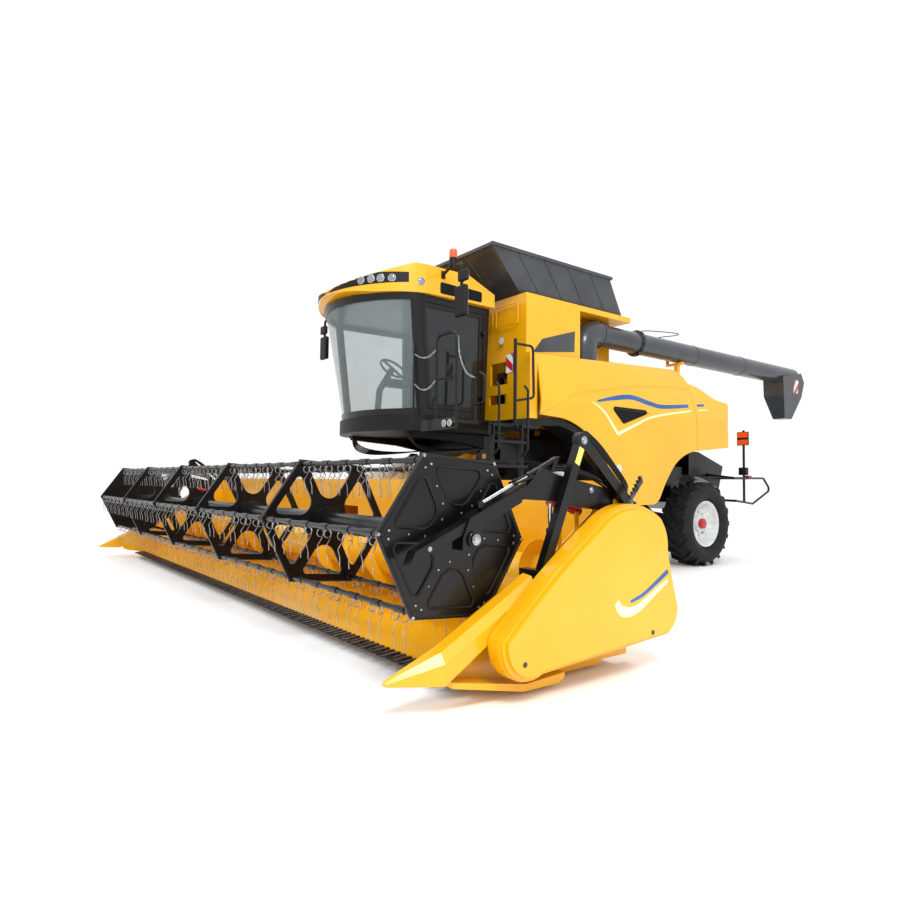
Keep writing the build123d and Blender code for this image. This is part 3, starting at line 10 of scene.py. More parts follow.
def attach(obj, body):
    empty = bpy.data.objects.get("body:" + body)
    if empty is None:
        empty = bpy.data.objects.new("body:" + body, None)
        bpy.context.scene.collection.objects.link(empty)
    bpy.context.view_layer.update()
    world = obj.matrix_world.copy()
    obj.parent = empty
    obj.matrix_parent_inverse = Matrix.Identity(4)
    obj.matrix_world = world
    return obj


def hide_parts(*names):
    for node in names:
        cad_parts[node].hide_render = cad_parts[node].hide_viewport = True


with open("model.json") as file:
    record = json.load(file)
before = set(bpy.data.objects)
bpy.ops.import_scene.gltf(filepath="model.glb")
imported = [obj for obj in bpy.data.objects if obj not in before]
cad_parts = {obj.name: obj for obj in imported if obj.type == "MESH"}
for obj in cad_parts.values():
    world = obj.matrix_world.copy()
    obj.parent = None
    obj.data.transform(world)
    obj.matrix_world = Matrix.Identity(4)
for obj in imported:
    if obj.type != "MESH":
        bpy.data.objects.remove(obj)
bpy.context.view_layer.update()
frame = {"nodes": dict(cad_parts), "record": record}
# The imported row's origin lies 1.35 m behind the ground point under the drive wheels.
BACK = 1.35


# -------------------- camera, floor and light
# The photograph was taken from a low stand ahead of the machine's left front corner, with a wide
# lens of about 26 mm on a 36 mm sensor. Place and direction come from a fit to twenty points.
STAND = (7.908, -6.403, 1.374)
heading, climb, tilt = radians(52.969), radians(2.81), radians(0.697)
ahead = Vector((-sin(heading) * cos(climb), cos(heading) * cos(climb), sin(climb)))
level = Vector((cos(heading), sin(heading), 0))
upright = level.cross(ahead)
across = cos(tilt) * level + sin(tilt) * upright
above = -sin(tilt) * level + cos(tilt) * upright
camera = bpy.data.objects.new("camera", bpy.data.cameras.new("camera"))
camera.data.lens = 26.22
camera.data.sensor_width = 36
camera.data.clip_end = 300
camera.matrix_world = Matrix.Translation((STAND[0], STAND[1] - BACK, STAND[2])) @ Matrix(
    (across, above, -ahead)).transposed().to_4x4()
bpy.context.scene.collection.objects.link(camera)
bpy.context.scene.camera = camera
bpy.context.scene.view_settings.view_transform = "Standard"


def linear(code):
    """An sRGB colour written as six hex digits, as linear red, green, blue and a solid alpha."""
    parts = [int(code[i:i + 2], 16) / 255 for i in (0, 2, 4)]
    return [p / 12.92 if p <= 0.04045 else ((p + 0.055) / 1.055) ** 2.4 for p in parts] + [1.0]


def node(tree, kind, settings=None, links=None):
    """Adds a shader node. Settings go to sockets or properties by name, links come from output sockets."""
    made = tree.nodes.new("ShaderNode" + kind)
    for name, value in (settings or {}).items():
        if name in made.inputs:
            made.inputs[name].default_value = value
        else:
            setattr(made, name, value)
    for name, source in (links or {}).items():
        tree.links.new(source, made.inputs[name])
    return made


# The floor is a matt white studio floor of painted board, lit as brightly as the wall behind it.
FLOOR_HALF = 140
floor_mesh = bpy.data.meshes.new("floor")
floor_mesh.from_pydata([(x * FLOOR_HALF, y * FLOOR_HALF, 0) for x, y in ((-1, -1), (1, -1), (1, 1), (-1, 1))],
                       [], [(0, 1, 2, 3)])
floor = bpy.data.objects.new("floor", floor_mesh)
floor_paint = bpy.data.materials.new("floor_paint")
floor_paint.use_nodes = True
tree = floor_paint.node_tree
floor_place = node(tree, "TexCoord").outputs["Object"]
grain = node(tree, "TexNoise", {"Scale": 0.4, "Detail": 3.0}, {"Vector": floor_place})
shade = node(tree, "ValToRGB", links={"Fac": grain.outputs["Fac"]})
shade.color_ramp.elements[0].color = linear("FCFCFC")
shade.color_ramp.elements[1].color = linear("FEFEFE")
tree.links.new(shade.outputs["Color"], tree.nodes["Principled BSDF"].inputs["Base Color"])
tree.nodes["Principled BSDF"].inputs["Roughness"].default_value = 0.95
tree.nodes["Principled BSDF"].inputs["Specular IOR Level"].default_value = 0.1
floor_mesh.materials.append(floor_paint)
bpy.context.scene.collection.objects.link(floor)

world = bpy.data.worlds.new("studio")
world.use_nodes = True
world.node_tree.nodes["Background"].inputs["Color"].default_value = (1.0, 1.0, 1.0, 1.0)
world.node_tree.nodes["Background"].inputs["Strength"].default_value = 1.06
bpy.context.scene.world = world
# Two soft disc lamps: the key light from the left front and a weaker one overhead, in metres and watts.
for name, place, aim, size, power in (
    ("key", (12.0, -9.0, 12.0), (0.5, -1.0, 1.5), 5.0, 1300.0),
    ("top", (0.0, -1.0, 13.0), (0.0, -1.0, 1.0), 8.0, 500.0),
):
    lamp = bpy.data.lights.new(name, "AREA")
    lamp.shape = "DISK"
    lamp.size = size
    lamp.energy = power
    holder = bpy.data.objects.new(name, lamp)
    holder.location = place
    holder.rotation_euler = (Vector(aim) - Vector(place)).to_track_quat("-Z", "Y").to_euler()
    bpy.context.scene.collection.objects.link(holder)


# -------------------- materials of the CAD nodes
def painted(name, low, high, roughness, coat, peel, patch, shine=0.5, metal=0.0):
    """Sprayed coat: two close tones in soft patches, an orange-peel bump and a clear gloss layer.

    low and high are the hex tones, peel is the bump's strength and patch the patches' size in metres.
    """
    material = bpy.data.materials.new(name)
    material.use_nodes = True
    tree = material.node_tree
    shader = tree.nodes["Principled BSDF"]
    place = node(tree, "TexCoord").outputs["Object"]
    clouds = node(tree, "TexNoise", {"Scale": 1 / patch, "Detail": 4.0, "Roughness": 0.55}, {"Vector": place})
    tone = node(tree, "ValToRGB", links={"Fac": clouds.outputs["Fac"]})
    tone.color_ramp.elements[0].position = 0.35
    tone.color_ramp.elements[0].color = linear(low)
    tone.color_ramp.elements[1].position = 0.65
    tone.color_ramp.elements[1].color = linear(high)
    tree.links.new(tone.outputs["Color"], shader.inputs["Base Color"])
    gloss = node(tree, "MapRange", {"To Min": roughness * 0.85, "To Max": roughness * 1.2},
                 {"Value": clouds.outputs["Fac"]})
    tree.links.new(gloss.outputs["Result"], shader.inputs["Roughness"])
    skin = node(tree, "TexNoise", {"Scale": 420.0, "Detail": 2.0}, {"Vector": place})
    bump = node(tree, "Bump", {"Strength": peel, "Distance": 0.0006}, {"Height": skin.outputs["Fac"]})
    tree.links.new(bump.outputs["Normal"], shader.inputs["Normal"])
    shader.inputs["Coat Weight"].default_value = coat
    shader.inputs["Coat Roughness"].default_value = 0.08
    shader.inputs["Specular IOR Level"].default_value = shine
    shader.inputs["Metallic"].default_value = metal
    return material


# Glossy machine yellow, sprayed and baked on steel and moulded panels. Peel about 2 mm, patches 0.9 m.
yellow = painted("yellow_paint", "E9A806", "EFB00C", 0.3, 0.4, 0.04, 0.9, 0.4)
# Satin black powder coat on welded steel. Grain about 2 mm, patches 0.3 m.
black = painted("black_powder_coat", "050506", "0B0B0D", 0.3, 0.12, 0.08, 0.3, 0.3)
# Black moulded plastic with a fine grain of about 2 mm.
plastic = painted("black_moulding", "0D0E0F", "161719", 0.5, 0.0, 0.35, 0.25, 0.25)
# Dark grey satin paint on the folding cover and the unloading tube. Patches 0.5 m.
grey = painted("dark_grey_paint", "2E3237", "3A3F45", 0.26, 0.3, 0.08, 0.5, 0.4)
# White enamel on rims and drive wheels, slightly dusty in patches of 0.15 m.
white = painted("white_enamel", "BFC2C4", "D9DBDC", 0.35, 0.2, 0.08, 0.15, 0.4)
# Cast iron of the engine block, rough from the sand mould. Patches 0.1 m.
iron = painted("cast_iron", "2E3032", "424547", 0.62, 0.0, 0.6, 0.1)
# Hard chrome on ram rods: polished, with very faint patches of 50 mm.
chrome = painted("hard_chrome", "B9BDC2", "D7DADD", 0.12, 0.0, 0.02, 0.05, 0.5, 1.0)
# Bare spring steel of tines and bolts, polished by straw. Patches of 40 mm.
steel = painted("worn_steel", "85888B", "BFC2C5", 0.28, 0.0, 0.08, 0.04, 0.5, 0.9)
# Blackened steel of the knife guards, rubbed grey in patches of 50 mm.
guard_steel = painted("blackened_steel", "1A1A1A", "55575A", 0.34, 0.0, 0.2, 0.05, 0.5, 0.5)
# Moulded rubber of belts and tyres, matt with a grey bloom in patches of 0.12 m.
rubber = painted("moulded_rubber", "0E0E0F", "1D1D1E", 0.68, 0.0, 0.5, 0.12, 0.3)
# Woven seat cloth in charcoal, with a rough hand and patches of 20 mm.
cloth = painted("seat_cloth", "1C1D20", "2C2E33", 0.9, 0.0, 0.9, 0.02, 0.2)


def glazed(name, tint, alpha_low, alpha_high):
    """Thin safety glass: a body tint that covers part of what lies behind, mirror-smooth, with faint dust.

    Cover goes from alpha_low to alpha_high with a dust pattern of about 0.3 m.
    """
    material = bpy.data.materials.new(name)
    material.use_nodes = True
    tree = material.node_tree
    shader = tree.nodes["Principled BSDF"]
    shader.inputs["Base Color"].default_value = linear(tint)
    shader.inputs["Roughness"].default_value = 0.03
    place = node(tree, "TexCoord").outputs["Object"]
    dust = node(tree, "TexNoise", {"Scale": 3.0, "Detail": 5.0}, {"Vector": place})
    cover = node(tree, "MapRange", {"To Min": alpha_low, "To Max": alpha_high},
                 {"Value": dust.outputs["Fac"]})
    tree.links.new(cover.outputs["Result"], shader.inputs["Alpha"])
    return material


# Windscreen and side window: laminated glass with a faint green tint.
glass = glazed("clear_glass", "93A5A6", 0.2, 0.28)
# The door's pane is much darker, grey in the mass.
dark_glass = glazed("dark_glass", "232729", 0.74, 0.82)

MATERIAL_OF_SLOT = {
    "yellow_panel": yellow, "yellow_steel": yellow, "black_steel": black, "grey_steel": grey,
    "white_steel": white, "belt_rubber": rubber, "tyre_rubber": rubber, "black_plastic": plastic,
    "tinted_glass": glass, "seat_cloth": cloth, "ram_chrome": chrome, "engine_iron": iron,
    "knife_steel": guard_steel, "tine_steel": steel,
}
for part in frame["record"]["subparts"]:
    mesh = frame["nodes"][part["node"]].data
    material = dark_glass if part["node"] == "door_glass" else MATERIAL_OF_SLOT[part["material_slot"]]
    mesh.materials.clear()
    mesh.materials.append(material)


# -------------------- reel: tines, end plates and bolts
# Six tine bars carry double spring tines: 6.6 mm wire wound once round under the bar, with a kinked
# leg. The end plates are pressed sheet with ribs round six fields, bolted to the bars' bearings.
X_AXIS, Y_AXIS, Z_AXIS = (1, 0, 0), (0, 1, 0), (0, 0, 1)


def grid(points, close=False, wrap=False):
    """Vertices and quads of a surface sampled as rows of points: quad (i, j) spans rows i and i + 1.

    wrap joins the last point of each row to its first, close caps the first and last row.
    """
    points = np.asarray(points, float)
    rows, n = points.shape[:2]
    faces = []
    for i in range(rows - 1):
        for j in range(n if wrap else n - 1):
            k = (j + 1) % n
            faces.append((i * n + j, i * n + k, (i + 1) * n + k, (i + 1) * n + j))
    if close:
        faces.append(tuple(range(n - 1, -1, -1)))
        faces.append(tuple(range((rows - 1) * n, rows * n)))
    return points.reshape(-1, 3), faces


def tube(path, radius, sides=8):
    """Round bar along a polyline: P(i, a) = path(i) + r (cos a u(i) + sin a v(i)).

    u and v are square to the path and are carried along it without twist.
    """
    path = np.asarray(path, float)
    step = np.diff(path, axis=0)
    step /= np.linalg.norm(step, axis=1)[:, None]
    ahead = np.vstack([step[:1], step[:-1] + step[1:], step[-1:]])
    ahead /= np.linalg.norm(ahead, axis=1)[:, None]
    side = np.cross(ahead[0], Z_AXIS)
    if np.linalg.norm(side) < 0.2:
        side = np.cross(ahead[0], X_AXIS)
    turn = np.linspace(0, 2 * pi, sides, endpoint=False)
    rings = []
    for place, along in zip(path, ahead):
        side = side - along * side.dot(along)
        side /= np.linalg.norm(side)
        up = np.cross(side, along)
        rings.append(place + radius * (np.outer(np.cos(turn), side) + np.outer(np.sin(turn), up)))
    return grid(rings, close=True, wrap=True)


def lathe(profile, centre, axis, sides=20):
    """Turned shape: P(i, a) = c + s(i) d + r(i) (cos a u + sin a v), from rows (s, r) along the axis d."""
    along = np.asarray(axis, float) / np.linalg.norm(axis)
    side = np.cross(along, Z_AXIS if abs(along[2]) < 0.9 else X_AXIS)
    side /= np.linalg.norm(side)
    up = np.cross(along, side)
    turn = np.linspace(0, 2 * pi, sides, endpoint=False)
    around = np.outer(np.cos(turn), side) + np.outer(np.sin(turn), up)
    rings = [np.asarray(centre, float) + s * along + r * around for s, r in profile]
    return grid(rings, close=True, wrap=True)


def slab(outline, shift):
    """Flat plate: a closed outline of points in space and its copy moved by a vector."""
    outline = np.asarray(outline, float)
    return grid([outline, outline + np.asarray(shift, float)], close=True, wrap=True)


def built(name, body, material, slot, parts, bevel=0.0, crease=38):
    """One piece from shells placed from the ground point under the drive wheels, moved back by BACK."""
    points = np.vstack([p for p, f in parts]) - (0, BACK, 0)
    faces, start = [], 0
    for p, f in parts:
        faces += [tuple(start + i for i in face) for face in f]
        start += len(p)
    mesh = bpy.data.meshes.new(name)
    mesh.from_pydata(points.tolist(), [], faces)
    shell = bmesh.new()
    shell.from_mesh(mesh)
    bmesh.ops.recalc_face_normals(shell, faces=shell.faces)
    if bevel:
        edges = [e for e in shell.edges if len(e.link_faces) == 2 and e.calc_face_angle() > radians(crease)]
        bmesh.ops.bevel(shell, geom=edges, offset=bevel, segments=2, profile=0.6, affect="EDGES",
                        clamp_overlap=True)
    shell.to_mesh(mesh)
    shell.free()
    mesh.polygons.foreach_set("use_smooth", [True] * len(mesh.polygons))
    mesh.set_sharp_from_angle(angle=radians(crease))
    mesh.materials.append(material)
    thing = bpy.data.objects.new(name, mesh)
    bpy.context.scene.collection.objects.link(thing)
    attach(thing, body)
    return thing


def bolt(centre, axis, radius, height):
    """Hexagon bolt head with a washer and a chamfered crown."""
    washer = lathe([(0, radius * 1.35), (0.003, radius * 1.35)], centre, axis, 12)
    head = lathe([(0.003, radius), (height * 0.8, radius), (height, radius * 0.8)], centre, axis, 6)
    return [washer, head]


# The reel's shaft, half its length over the end plates and between them, and its tine bars.
REEL_Y, REEL_Z = -3.825, 1.022
REEL_HALF = 4.56
REEL_INSIDE = REEL_HALF - 0.01
BAR_CIRCLE, BAR_RADIUS = 0.545, 0.018
bar_angles = [radians(176 + 60 * i) for i in range(6)]
TINES = 30
tine_places = [-REEL_INSIDE + (k + 0.5) * (2 * REEL_INSIDE / TINES) for k in range(TINES)]
COIL_RADIUS, COIL_DROP, WIRE_RADIUS = 0.027, 0.046, 0.0033


def on_reel(radius, angle):
    """The y and z of a point at a radius from the reel's shaft and an angle round it."""
    return REEL_Y + radius * cos(angle), REEL_Z + radius * sin(angle)


for i, angle in enumerate(bar_angles, start=1):
    y0, z0 = on_reel(BAR_CIRCLE, angle)
    wire = [(y0 + COIL_RADIUS * cos(a), z0 - COIL_DROP + COIL_RADIUS * sin(a))
            for a in np.linspace(pi * 0.6, -pi * 1.95, 17)]
    wire += [(y0 + 0.013, z0 - 0.085), (y0 - 0.019, z0 - 0.135), (y0 - 0.004, z0 - 0.185),
             (y0 - 0.001, z0 - 0.248)]
    wires = []
    for x in tine_places:
        for side in (-1, 1):
            path = [(x + side * (0.048 + 0.0007 * j), y, z) for j, (y, z) in enumerate(wire)]
            wires.append(tube(path, WIRE_RADIUS, 5))
    tines = built(f"tine_wires_{i}", f"tines_{i}", steel, "tine_steel", wires, crease=80)
    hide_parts(f"tine_bar_{i}")
    bar = [lathe([(-REEL_HALF - 0.005, 0.014), (-REEL_HALF, BAR_RADIUS), (REEL_HALF, BAR_RADIUS),
                  (REEL_HALF + 0.005, 0.014)], (0, y0, z0), X_AXIS, 24)]
    sleeve = [(-0.058, 0.0235), (-0.05, 0.024), (0.05, 0.024), (0.058, 0.0235)]
    bar += [lathe(sleeve, (x, y0, z0), X_AXIS, 10) for x in tine_places]
    built(f"tine_tube_{i}", f"tines_{i}", black, "black_steel", bar)


def rounded(points, radii, steps=6):
    """Closed flat outline with each corner i turned by an arc of radii[i], tangent to both its sides."""
    made = []
    for i, radius in enumerate(radii):
        p = np.asarray(points[i], float)
        a = np.asarray(points[i - 1], float) - p
        b = np.asarray(points[(i + 1) % len(points)], float) - p
        a, b = a / np.linalg.norm(a), b / np.linalg.norm(b)
        half = 0.5 * np.arccos(np.clip(a.dot(b), -1, 1))
        centre = p + (a + b) / np.linalg.norm(a + b) * radius / sin(half)
        start = p + a * radius / np.tan(half) - centre
        end = p + b * radius / np.tan(half) - centre
        for t in np.linspace(0, 1, steps):
            along = start * (1 - t) + end * t
            made.append(centre + along / np.linalg.norm(along) * radius)
    return made


# One pressed field of an end plate, and its bolts as radius, turn from the bar and head size.
field = rounded([(0.09, 0), (0.446, -0.2055), (0.446, 0.2055)], [0.11, 0.035, 0.035])
PLATE_BOLTS = ((0.575, 0.0, 0.012), (0.505, -0.05, 0.009), (0.505, 0.05, 0.009), (0.36, -0.02, 0.007),
               (0.24, 0.0, 0.008), (0.16, 0.3, 0.008))
ribs, rims, reel_bolts = [], [], []
for side in (-1, 1):
    face_x = side * (REEL_HALF - 0.001)
    for k in range(6):
        a, b = bar_angles[k], bar_angles[(k + 1) % 6]
        c, s = cos(a + pi / 6), sin(a + pi / 6)
        loop = [(face_x, REEL_Y + u * c - v * s, REEL_Z + u * s + v * c) for u, v in field]
        ribs.append(tube(loop + loop[:2], 0.009))
        rims.append(tube([(face_x - side * 0.008, *on_reel(0.578, t)) for t in (a, b)], 0.013, 10))
        for radius, turn, size in PLATE_BOLTS:
            reel_bolts += bolt((face_x - side * 0.002, *on_reel(radius, a + turn)), (side, 0, 0), size, size)
built("reel_plate_ribs", "reel_body", black, "black_steel", ribs + rims)
built("reel_plate_bolts", "reel_body", steel, "tine_steel", reel_bolts)

# Spiders: each flat ring of spokes has a folded flange round its rim and round the bearings.
bearing = [(-0.02, 0.03), (-0.016, 0.034), (0.016, 0.034), (0.02, 0.03)]
hub = [(-0.05, 0.09), (-0.045, 0.13), (-0.012, 0.14), (0.012, 0.14), (0.045, 0.13), (0.05, 0.09)]
spider_trim = []
for i in range(1, 5):
    x = -REEL_INSIDE + i * 2 * REEL_INSIDE / 5
    for k in range(6):
        a, b = bar_angles[k], bar_angles[(k + 1) % 6]
        for dx in (-0.011, 0.011):
            spider_trim.append(tube([(x + dx, *on_reel(0.582, t)) for t in (a, b)], 0.006, 6))
        spider_trim.append(lathe(bearing, (x, *on_reel(BAR_CIRCLE, a)), X_AXIS, 14))
    spider_trim.append(lathe(hub, (x, REEL_Y, REEL_Z), X_AXIS, 28))
built("reel_spider_trim", "reel_body", black, "black_steel", spider_trim)


# -------------------- reel arms: rams, hoses, bearings
# Each arm has a small ram along its top that slides the bearing box: a painted barrel on a welded
# bracket with a hard chrome rod. Three rubber hoses lie over the arm, clipped at both ends.
ARM_X, ARM_SIDE = 4.69, 4.7305
ARM_Y, ARM_Z = -3.863, 1.03
ARM_HOSE = 0.0085


def on_arm(along, above, x=ARM_X):
    """A point on the sloping arm: y = Y - 0.917 along + 0.399 above, z = Z - 0.399 along + 0.917 above."""
    return (x, ARM_Y - 0.917 * along + 0.399 * above, ARM_Z - 0.399 * along + 0.917 * above)


def eased(points, rounds=2):
    """Corner-cut path: each round swaps a corner for the points a quarter of the way along its two sides."""
    points = np.asarray(points, float)
    for _ in range(rounds):
        near = points[:-1] * 0.75 + points[1:] * 0.25
        far = points[:-1] * 0.25 + points[1:] * 0.75
        points = np.vstack([points[:1], np.stack([near, far], axis=1).reshape(-1, 3), points[-1:]])
    return points


def flipped(parts):
    """The same shells on the machine's other side, x to -x, with their faces turned round."""
    return [(points * (-1, 1, 1), [face[::-1] for face in faces]) for points, faces in parts]


def both_sides(name, body, material, slot, parts, bevel=0.0, crease=38):
    """One piece of the given shells, which are on the left, and of the same shells on the right."""
    built(name, body, material, slot, parts + flipped(parts), bevel, crease)


def hose(name, body, route, radius):
    """Rubber hose, left and right, clipped at both ends: a NURBS line that the route's points pull on."""
    for side, word in ((1, "left"), (-1, "right")):
        curve = bpy.data.curves.new(f"{name}_{word}", "CURVE")
        curve.dimensions = "3D"
        curve.resolution_u = 8
        line = curve.splines.new("NURBS")
        line.points.add(len(route) - 1)
        for point, (x, y, z) in zip(line.points, route):
            point.co = (side * x, y - BACK, z, 1)
        line.order_u = 3
        line.use_endpoint_u = True
        thing = bpy.data.objects.new(curve.name, curve)
        bpy.context.scene.collection.objects.link(thing)
        bare = bpy.data.meshes.new_from_object(thing.evaluated_get(bpy.context.evaluated_depsgraph_get()))
        bpy.data.meshes.remove(bare)
        curve.bevel_depth = radius
        curve.bevel_resolution = 3
        curve.use_fill_caps = True
        curve.materials.append(plastic)
        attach(thing, body)
        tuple(line.points[0].co[:3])


bracket_x = ARM_X - 0.03
ram = [tube([on_arm(-0.78, 0.215), on_arm(-0.5, 0.206)], 0.02, 16),
       lathe([(-0.03, 0.02), (-0.028, 0.024), (0.0, 0.024), (0.002, 0.02)], on_arm(-0.5, 0.206),
             np.subtract(on_arm(0, 0.2), on_arm(-0.5, 0.206)), 16),
       slab([on_arm(-0.8, 0.13, bracket_x), on_arm(-0.74, 0.13, bracket_x), on_arm(-0.75, 0.235, bracket_x),
             on_arm(-0.8, 0.235, bracket_x)], (0.06, 0, 0)),
       lathe([(-0.02, 0.012), (-0.02, 0.026), (0.02, 0.026), (0.02, 0.012)], on_arm(-0.05, 0.2), X_AXIS, 16)]
ram_rod = [tube([on_arm(-0.51, 0.206), on_arm(-0.06, 0.2)], 0.014, 14)]
for k, (dx, lift) in enumerate(((-0.024, 0.0), (0.002, 0.014), (0.028, -0.006)), start=1):
    x = ARM_X + dx
    hose(f"arm_hose_{k}", "reel_arm_pair",
         [(x, -2.42, 1.31), (x, -2.58, 1.40 + lift), (x, -2.86, 1.47 + lift), (x, -3.1, 1.475 + lift),
          (x, -3.3, 1.42 + lift), on_arm(-0.34, 0.225 + lift, x)], ARM_HOSE)
arm_bolts = []
for along in (-0.46, -0.05, 0.35):
    arm_bolts += bolt(on_arm(along, 0.095, ARM_SIDE), X_AXIS, 0.011, 0.008)
for y, z in ((-3.0, 1.4), (-2.72, 1.33)):
    arm_bolts += bolt((ARM_SIDE, y, z), X_AXIS, 0.016, 0.012)
both_sides("arm_rams", "reel_arm_pair", black, "black_steel", ram)
both_sides("arm_ram_rods", "reel_arm_pair", chrome, "ram_chrome", ram_rod)
both_sides("arm_bolts", "reel_arm_pair", steel, "tine_steel", arm_bolts)

bearing_cap = lathe([(0, 0.05), (0.016, 0.05), (0.02, 0.046), (0.02, 0.03), (0.028, 0.026)],
                    (4.744, REEL_Y, REEL_Z), X_AXIS, 24)
both_sides("bearing_caps", "reel_slides", black, "black_steel", [bearing_cap])
both_sides("bearing_bolts", "reel_slides", steel, "tine_steel",
           bolt((4.772, REEL_Y, REEL_Z), X_AXIS, 0.026, 0.018))


# -------------------- header: knife, auger flights, end covers
# Forged double guards of blackened steel, one each 76 mm, with the section knife between their lips,
# rolled steel flights on the intake auger, and moulded end covers with a stripe.
CUT_HALF = 4.5
GUARDS = 119
# Down a guard from its root to its tip: y, half width, low and high edge.
guard_rows = ((-3.705, 0.017, 0.058, 0.11), (-3.76, 0.015, 0.06, 0.108), (-3.82, 0.009, 0.076, 0.1),
              (-3.862, 0.003, 0.09, 0.097))
guards = []
for k in range(GUARDS):
    x = -CUT_HALF + k * 2 * CUT_HALF / (GUARDS - 1)
    guards.append(grid([[(x - half, y, low), (x + half, y, low), (x + half, y, high), (x - half, y, high)]
                        for y, half, low, high in guard_rows], close=True, wrap=True))
KNIFE_BACK, KNIFE_LOW, KNIFE_HIGH = -3.705, 0.083, 0.088
rows = []
for k in range(2 * GUARDS):
    x = -CUT_HALF + k * 2 * CUT_HALF / (2 * GUARDS - 1)
    tip = -3.79 if k % 2 else -3.745
    rows.append([(x, tip, KNIFE_LOW), (x, KNIFE_BACK, KNIFE_LOW), (x, KNIFE_BACK, KNIFE_HIGH),
                 (x, tip, KNIFE_HIGH)])
guards.append(grid(rows, close=True, wrap=True))
built("knife_guards", "table", guard_steel, "knife_steel", guards, crease=30)

AUGER_Y, AUGER_Z = -2.79, 0.62
FLIGHT_PITCH, FLIGHT_INNER, FLIGHT_OUTER, FLIGHT_HALF = 0.56, 0.2, 0.322, 0.004
flights = []
for x0, x1 in ((0.75, 4.55), (-0.75, -4.55)):
    rows = []
    for t in np.linspace(0, 1, 170):
        x = x0 + (x1 - x0) * t
        a = 2 * pi * abs(x - x0) / FLIGHT_PITCH
        ring = [(x - FLIGHT_HALF, FLIGHT_INNER), (x - FLIGHT_HALF, FLIGHT_OUTER),
                (x + FLIGHT_HALF, FLIGHT_OUTER), (x + FLIGHT_HALF, FLIGHT_INNER)]
        rows.append([(px, AUGER_Y + r * cos(a), AUGER_Z + r * sin(a)) for px, r in ring])
    flights.append(grid(rows, close=True, wrap=True))
built("auger_flights", "intake_auger", yellow, "yellow_steel", flights, crease=50)

# Two beads pressed along the table's back wall.
BEAD_HALF, BEAD_ROOT, BEAD_FACE = 4.58, -2.3, -2.306
table_beads = [slab([(-BEAD_HALF, BEAD_ROOT, z), (BEAD_HALF, BEAD_ROOT, z), (BEAD_HALF, BEAD_FACE, z),
                     (-BEAD_HALF, BEAD_FACE, z)], (0, 0, 0.02)) for z in (1.32, 1.09)]
built("table_beads", "table", yellow, "yellow_steel", table_beads, bevel=0.003)

# Printed films in blue, pale yellow and label yellow, and red enamel on steel. Patches 0.05 to 0.4 m.
blue = painted("blue_stripe_film", "0F4F92", "1760A6", 0.35, 0.2, 0.02, 0.4, 0.4)
pale = painted("pale_stripe_film", "F3E3A8", "F8ECC0", 0.35, 0.3, 0.02, 0.4, 0.4)
label_yellow = painted("label_film", "E8D95A", "EFE27A", 0.5, 0.0, 0.02, 0.05, 0.3)
red = painted("red_enamel", "A3161C", "B81E24", 0.3, 0.4, 0.05, 0.1, 0.4)


def ribbon(path, widths, place, depth):
    """Flat band along a path of (y, z) points with a width at each; place(y, z) gives its outer face's x."""
    path = np.asarray(path, float)
    step = np.gradient(path, axis=0)
    step /= np.linalg.norm(step, axis=1)[:, None]
    rows = []
    for (y, z), (dy, dz), wide in zip(path, step, widths):
        row = []
        for out, half in ((-depth, wide / 2), (0.0, wide / 2), (0.0, -wide / 2), (-depth, -wide / 2)):
            py, pz = y - dz * half, z + dy * half
            row.append((place(py, pz) + out, py, pz))
        rows.append(row)
    return grid(rows, close=True, wrap=True)


def spline(points, count):
    """Evenly read points of a smooth line through the given ones (Catmull-Rom)."""
    p = np.asarray(points, float)
    p = np.vstack([2 * p[0] - p[1], p, 2 * p[-1] - p[-2]])
    made = []
    for t in np.linspace(0, len(p) - 3 - 1e-9, count):
        i = int(t)
        f = t - i
        a, b, c, d = p[i:i + 4]
        made.append(0.5 * (2 * b + (c - a) * f + (2 * a - 5 * b + 4 * c - d) * f * f
                           + (3 * b - a - 3 * c + d) * f ** 3))
    return np.asarray(made)


def cover_face(y, z):
    """Outer face of a film on the end cover's flat field: its x is the same all over."""
    return 4.9515


COVER_FILM = 0.0025
stripe_path = spline([(-2.554, 0.545), (-2.415, 0.583), (-2.266, 0.653), (-2.115, 0.73)], 16)
stripe = [ribbon(stripe_path, np.linspace(0.022, 0.036, 16), cover_face, COVER_FILM)]
swoosh_path = spline([(-2.71, 0.555), (-2.66, 0.495), (-2.56, 0.475), (-2.45, 0.5), (-2.3, 0.575),
                      (-2.12, 0.66)], 24)
swoosh_widths = np.interp(np.linspace(0, 1, 24), [0, 0.25, 0.5, 1], [0.05, 0.075, 0.06, 0.03])
swoosh = [ribbon(swoosh_path, swoosh_widths, cover_face, COVER_FILM)]
both_sides("cover_stripe", "table", blue, "yellow_panel", stripe, crease=60)
both_sides("cover_swoosh", "table", pale, "yellow_panel", swoosh, crease=60)
cover_bolts = bolt((4.95, -3.576, 0.264), X_AXIS, 0.013, 0.006)
cover_bolts += bolt((4.95, -2.3, 0.3), X_AXIS, 0.013, 0.006)
both_sides("cover_bolts", "table", guard_steel, "knife_steel", cover_bolts)

# Upright serrated side knife of blackened steel behind each end cover.
blade = [(-2.52, 1.2), (-2.43, 1.2), (-2.447, 1.25), (-2.31, 1.392), (-2.33, 1.44)]
for k in range(7):
    blade += [(-2.352 - 0.0225 * k, 1.432 - 0.028 * k), (-2.342 - 0.0225 * k, 1.41 - 0.028 * k)]
side_knife = [slab([(4.855, y, z) for y, z in blade], (0.022, 0, 0))]
both_sides("side_knives", "table", guard_steel, "knife_steel", side_knife, bevel=0.002)

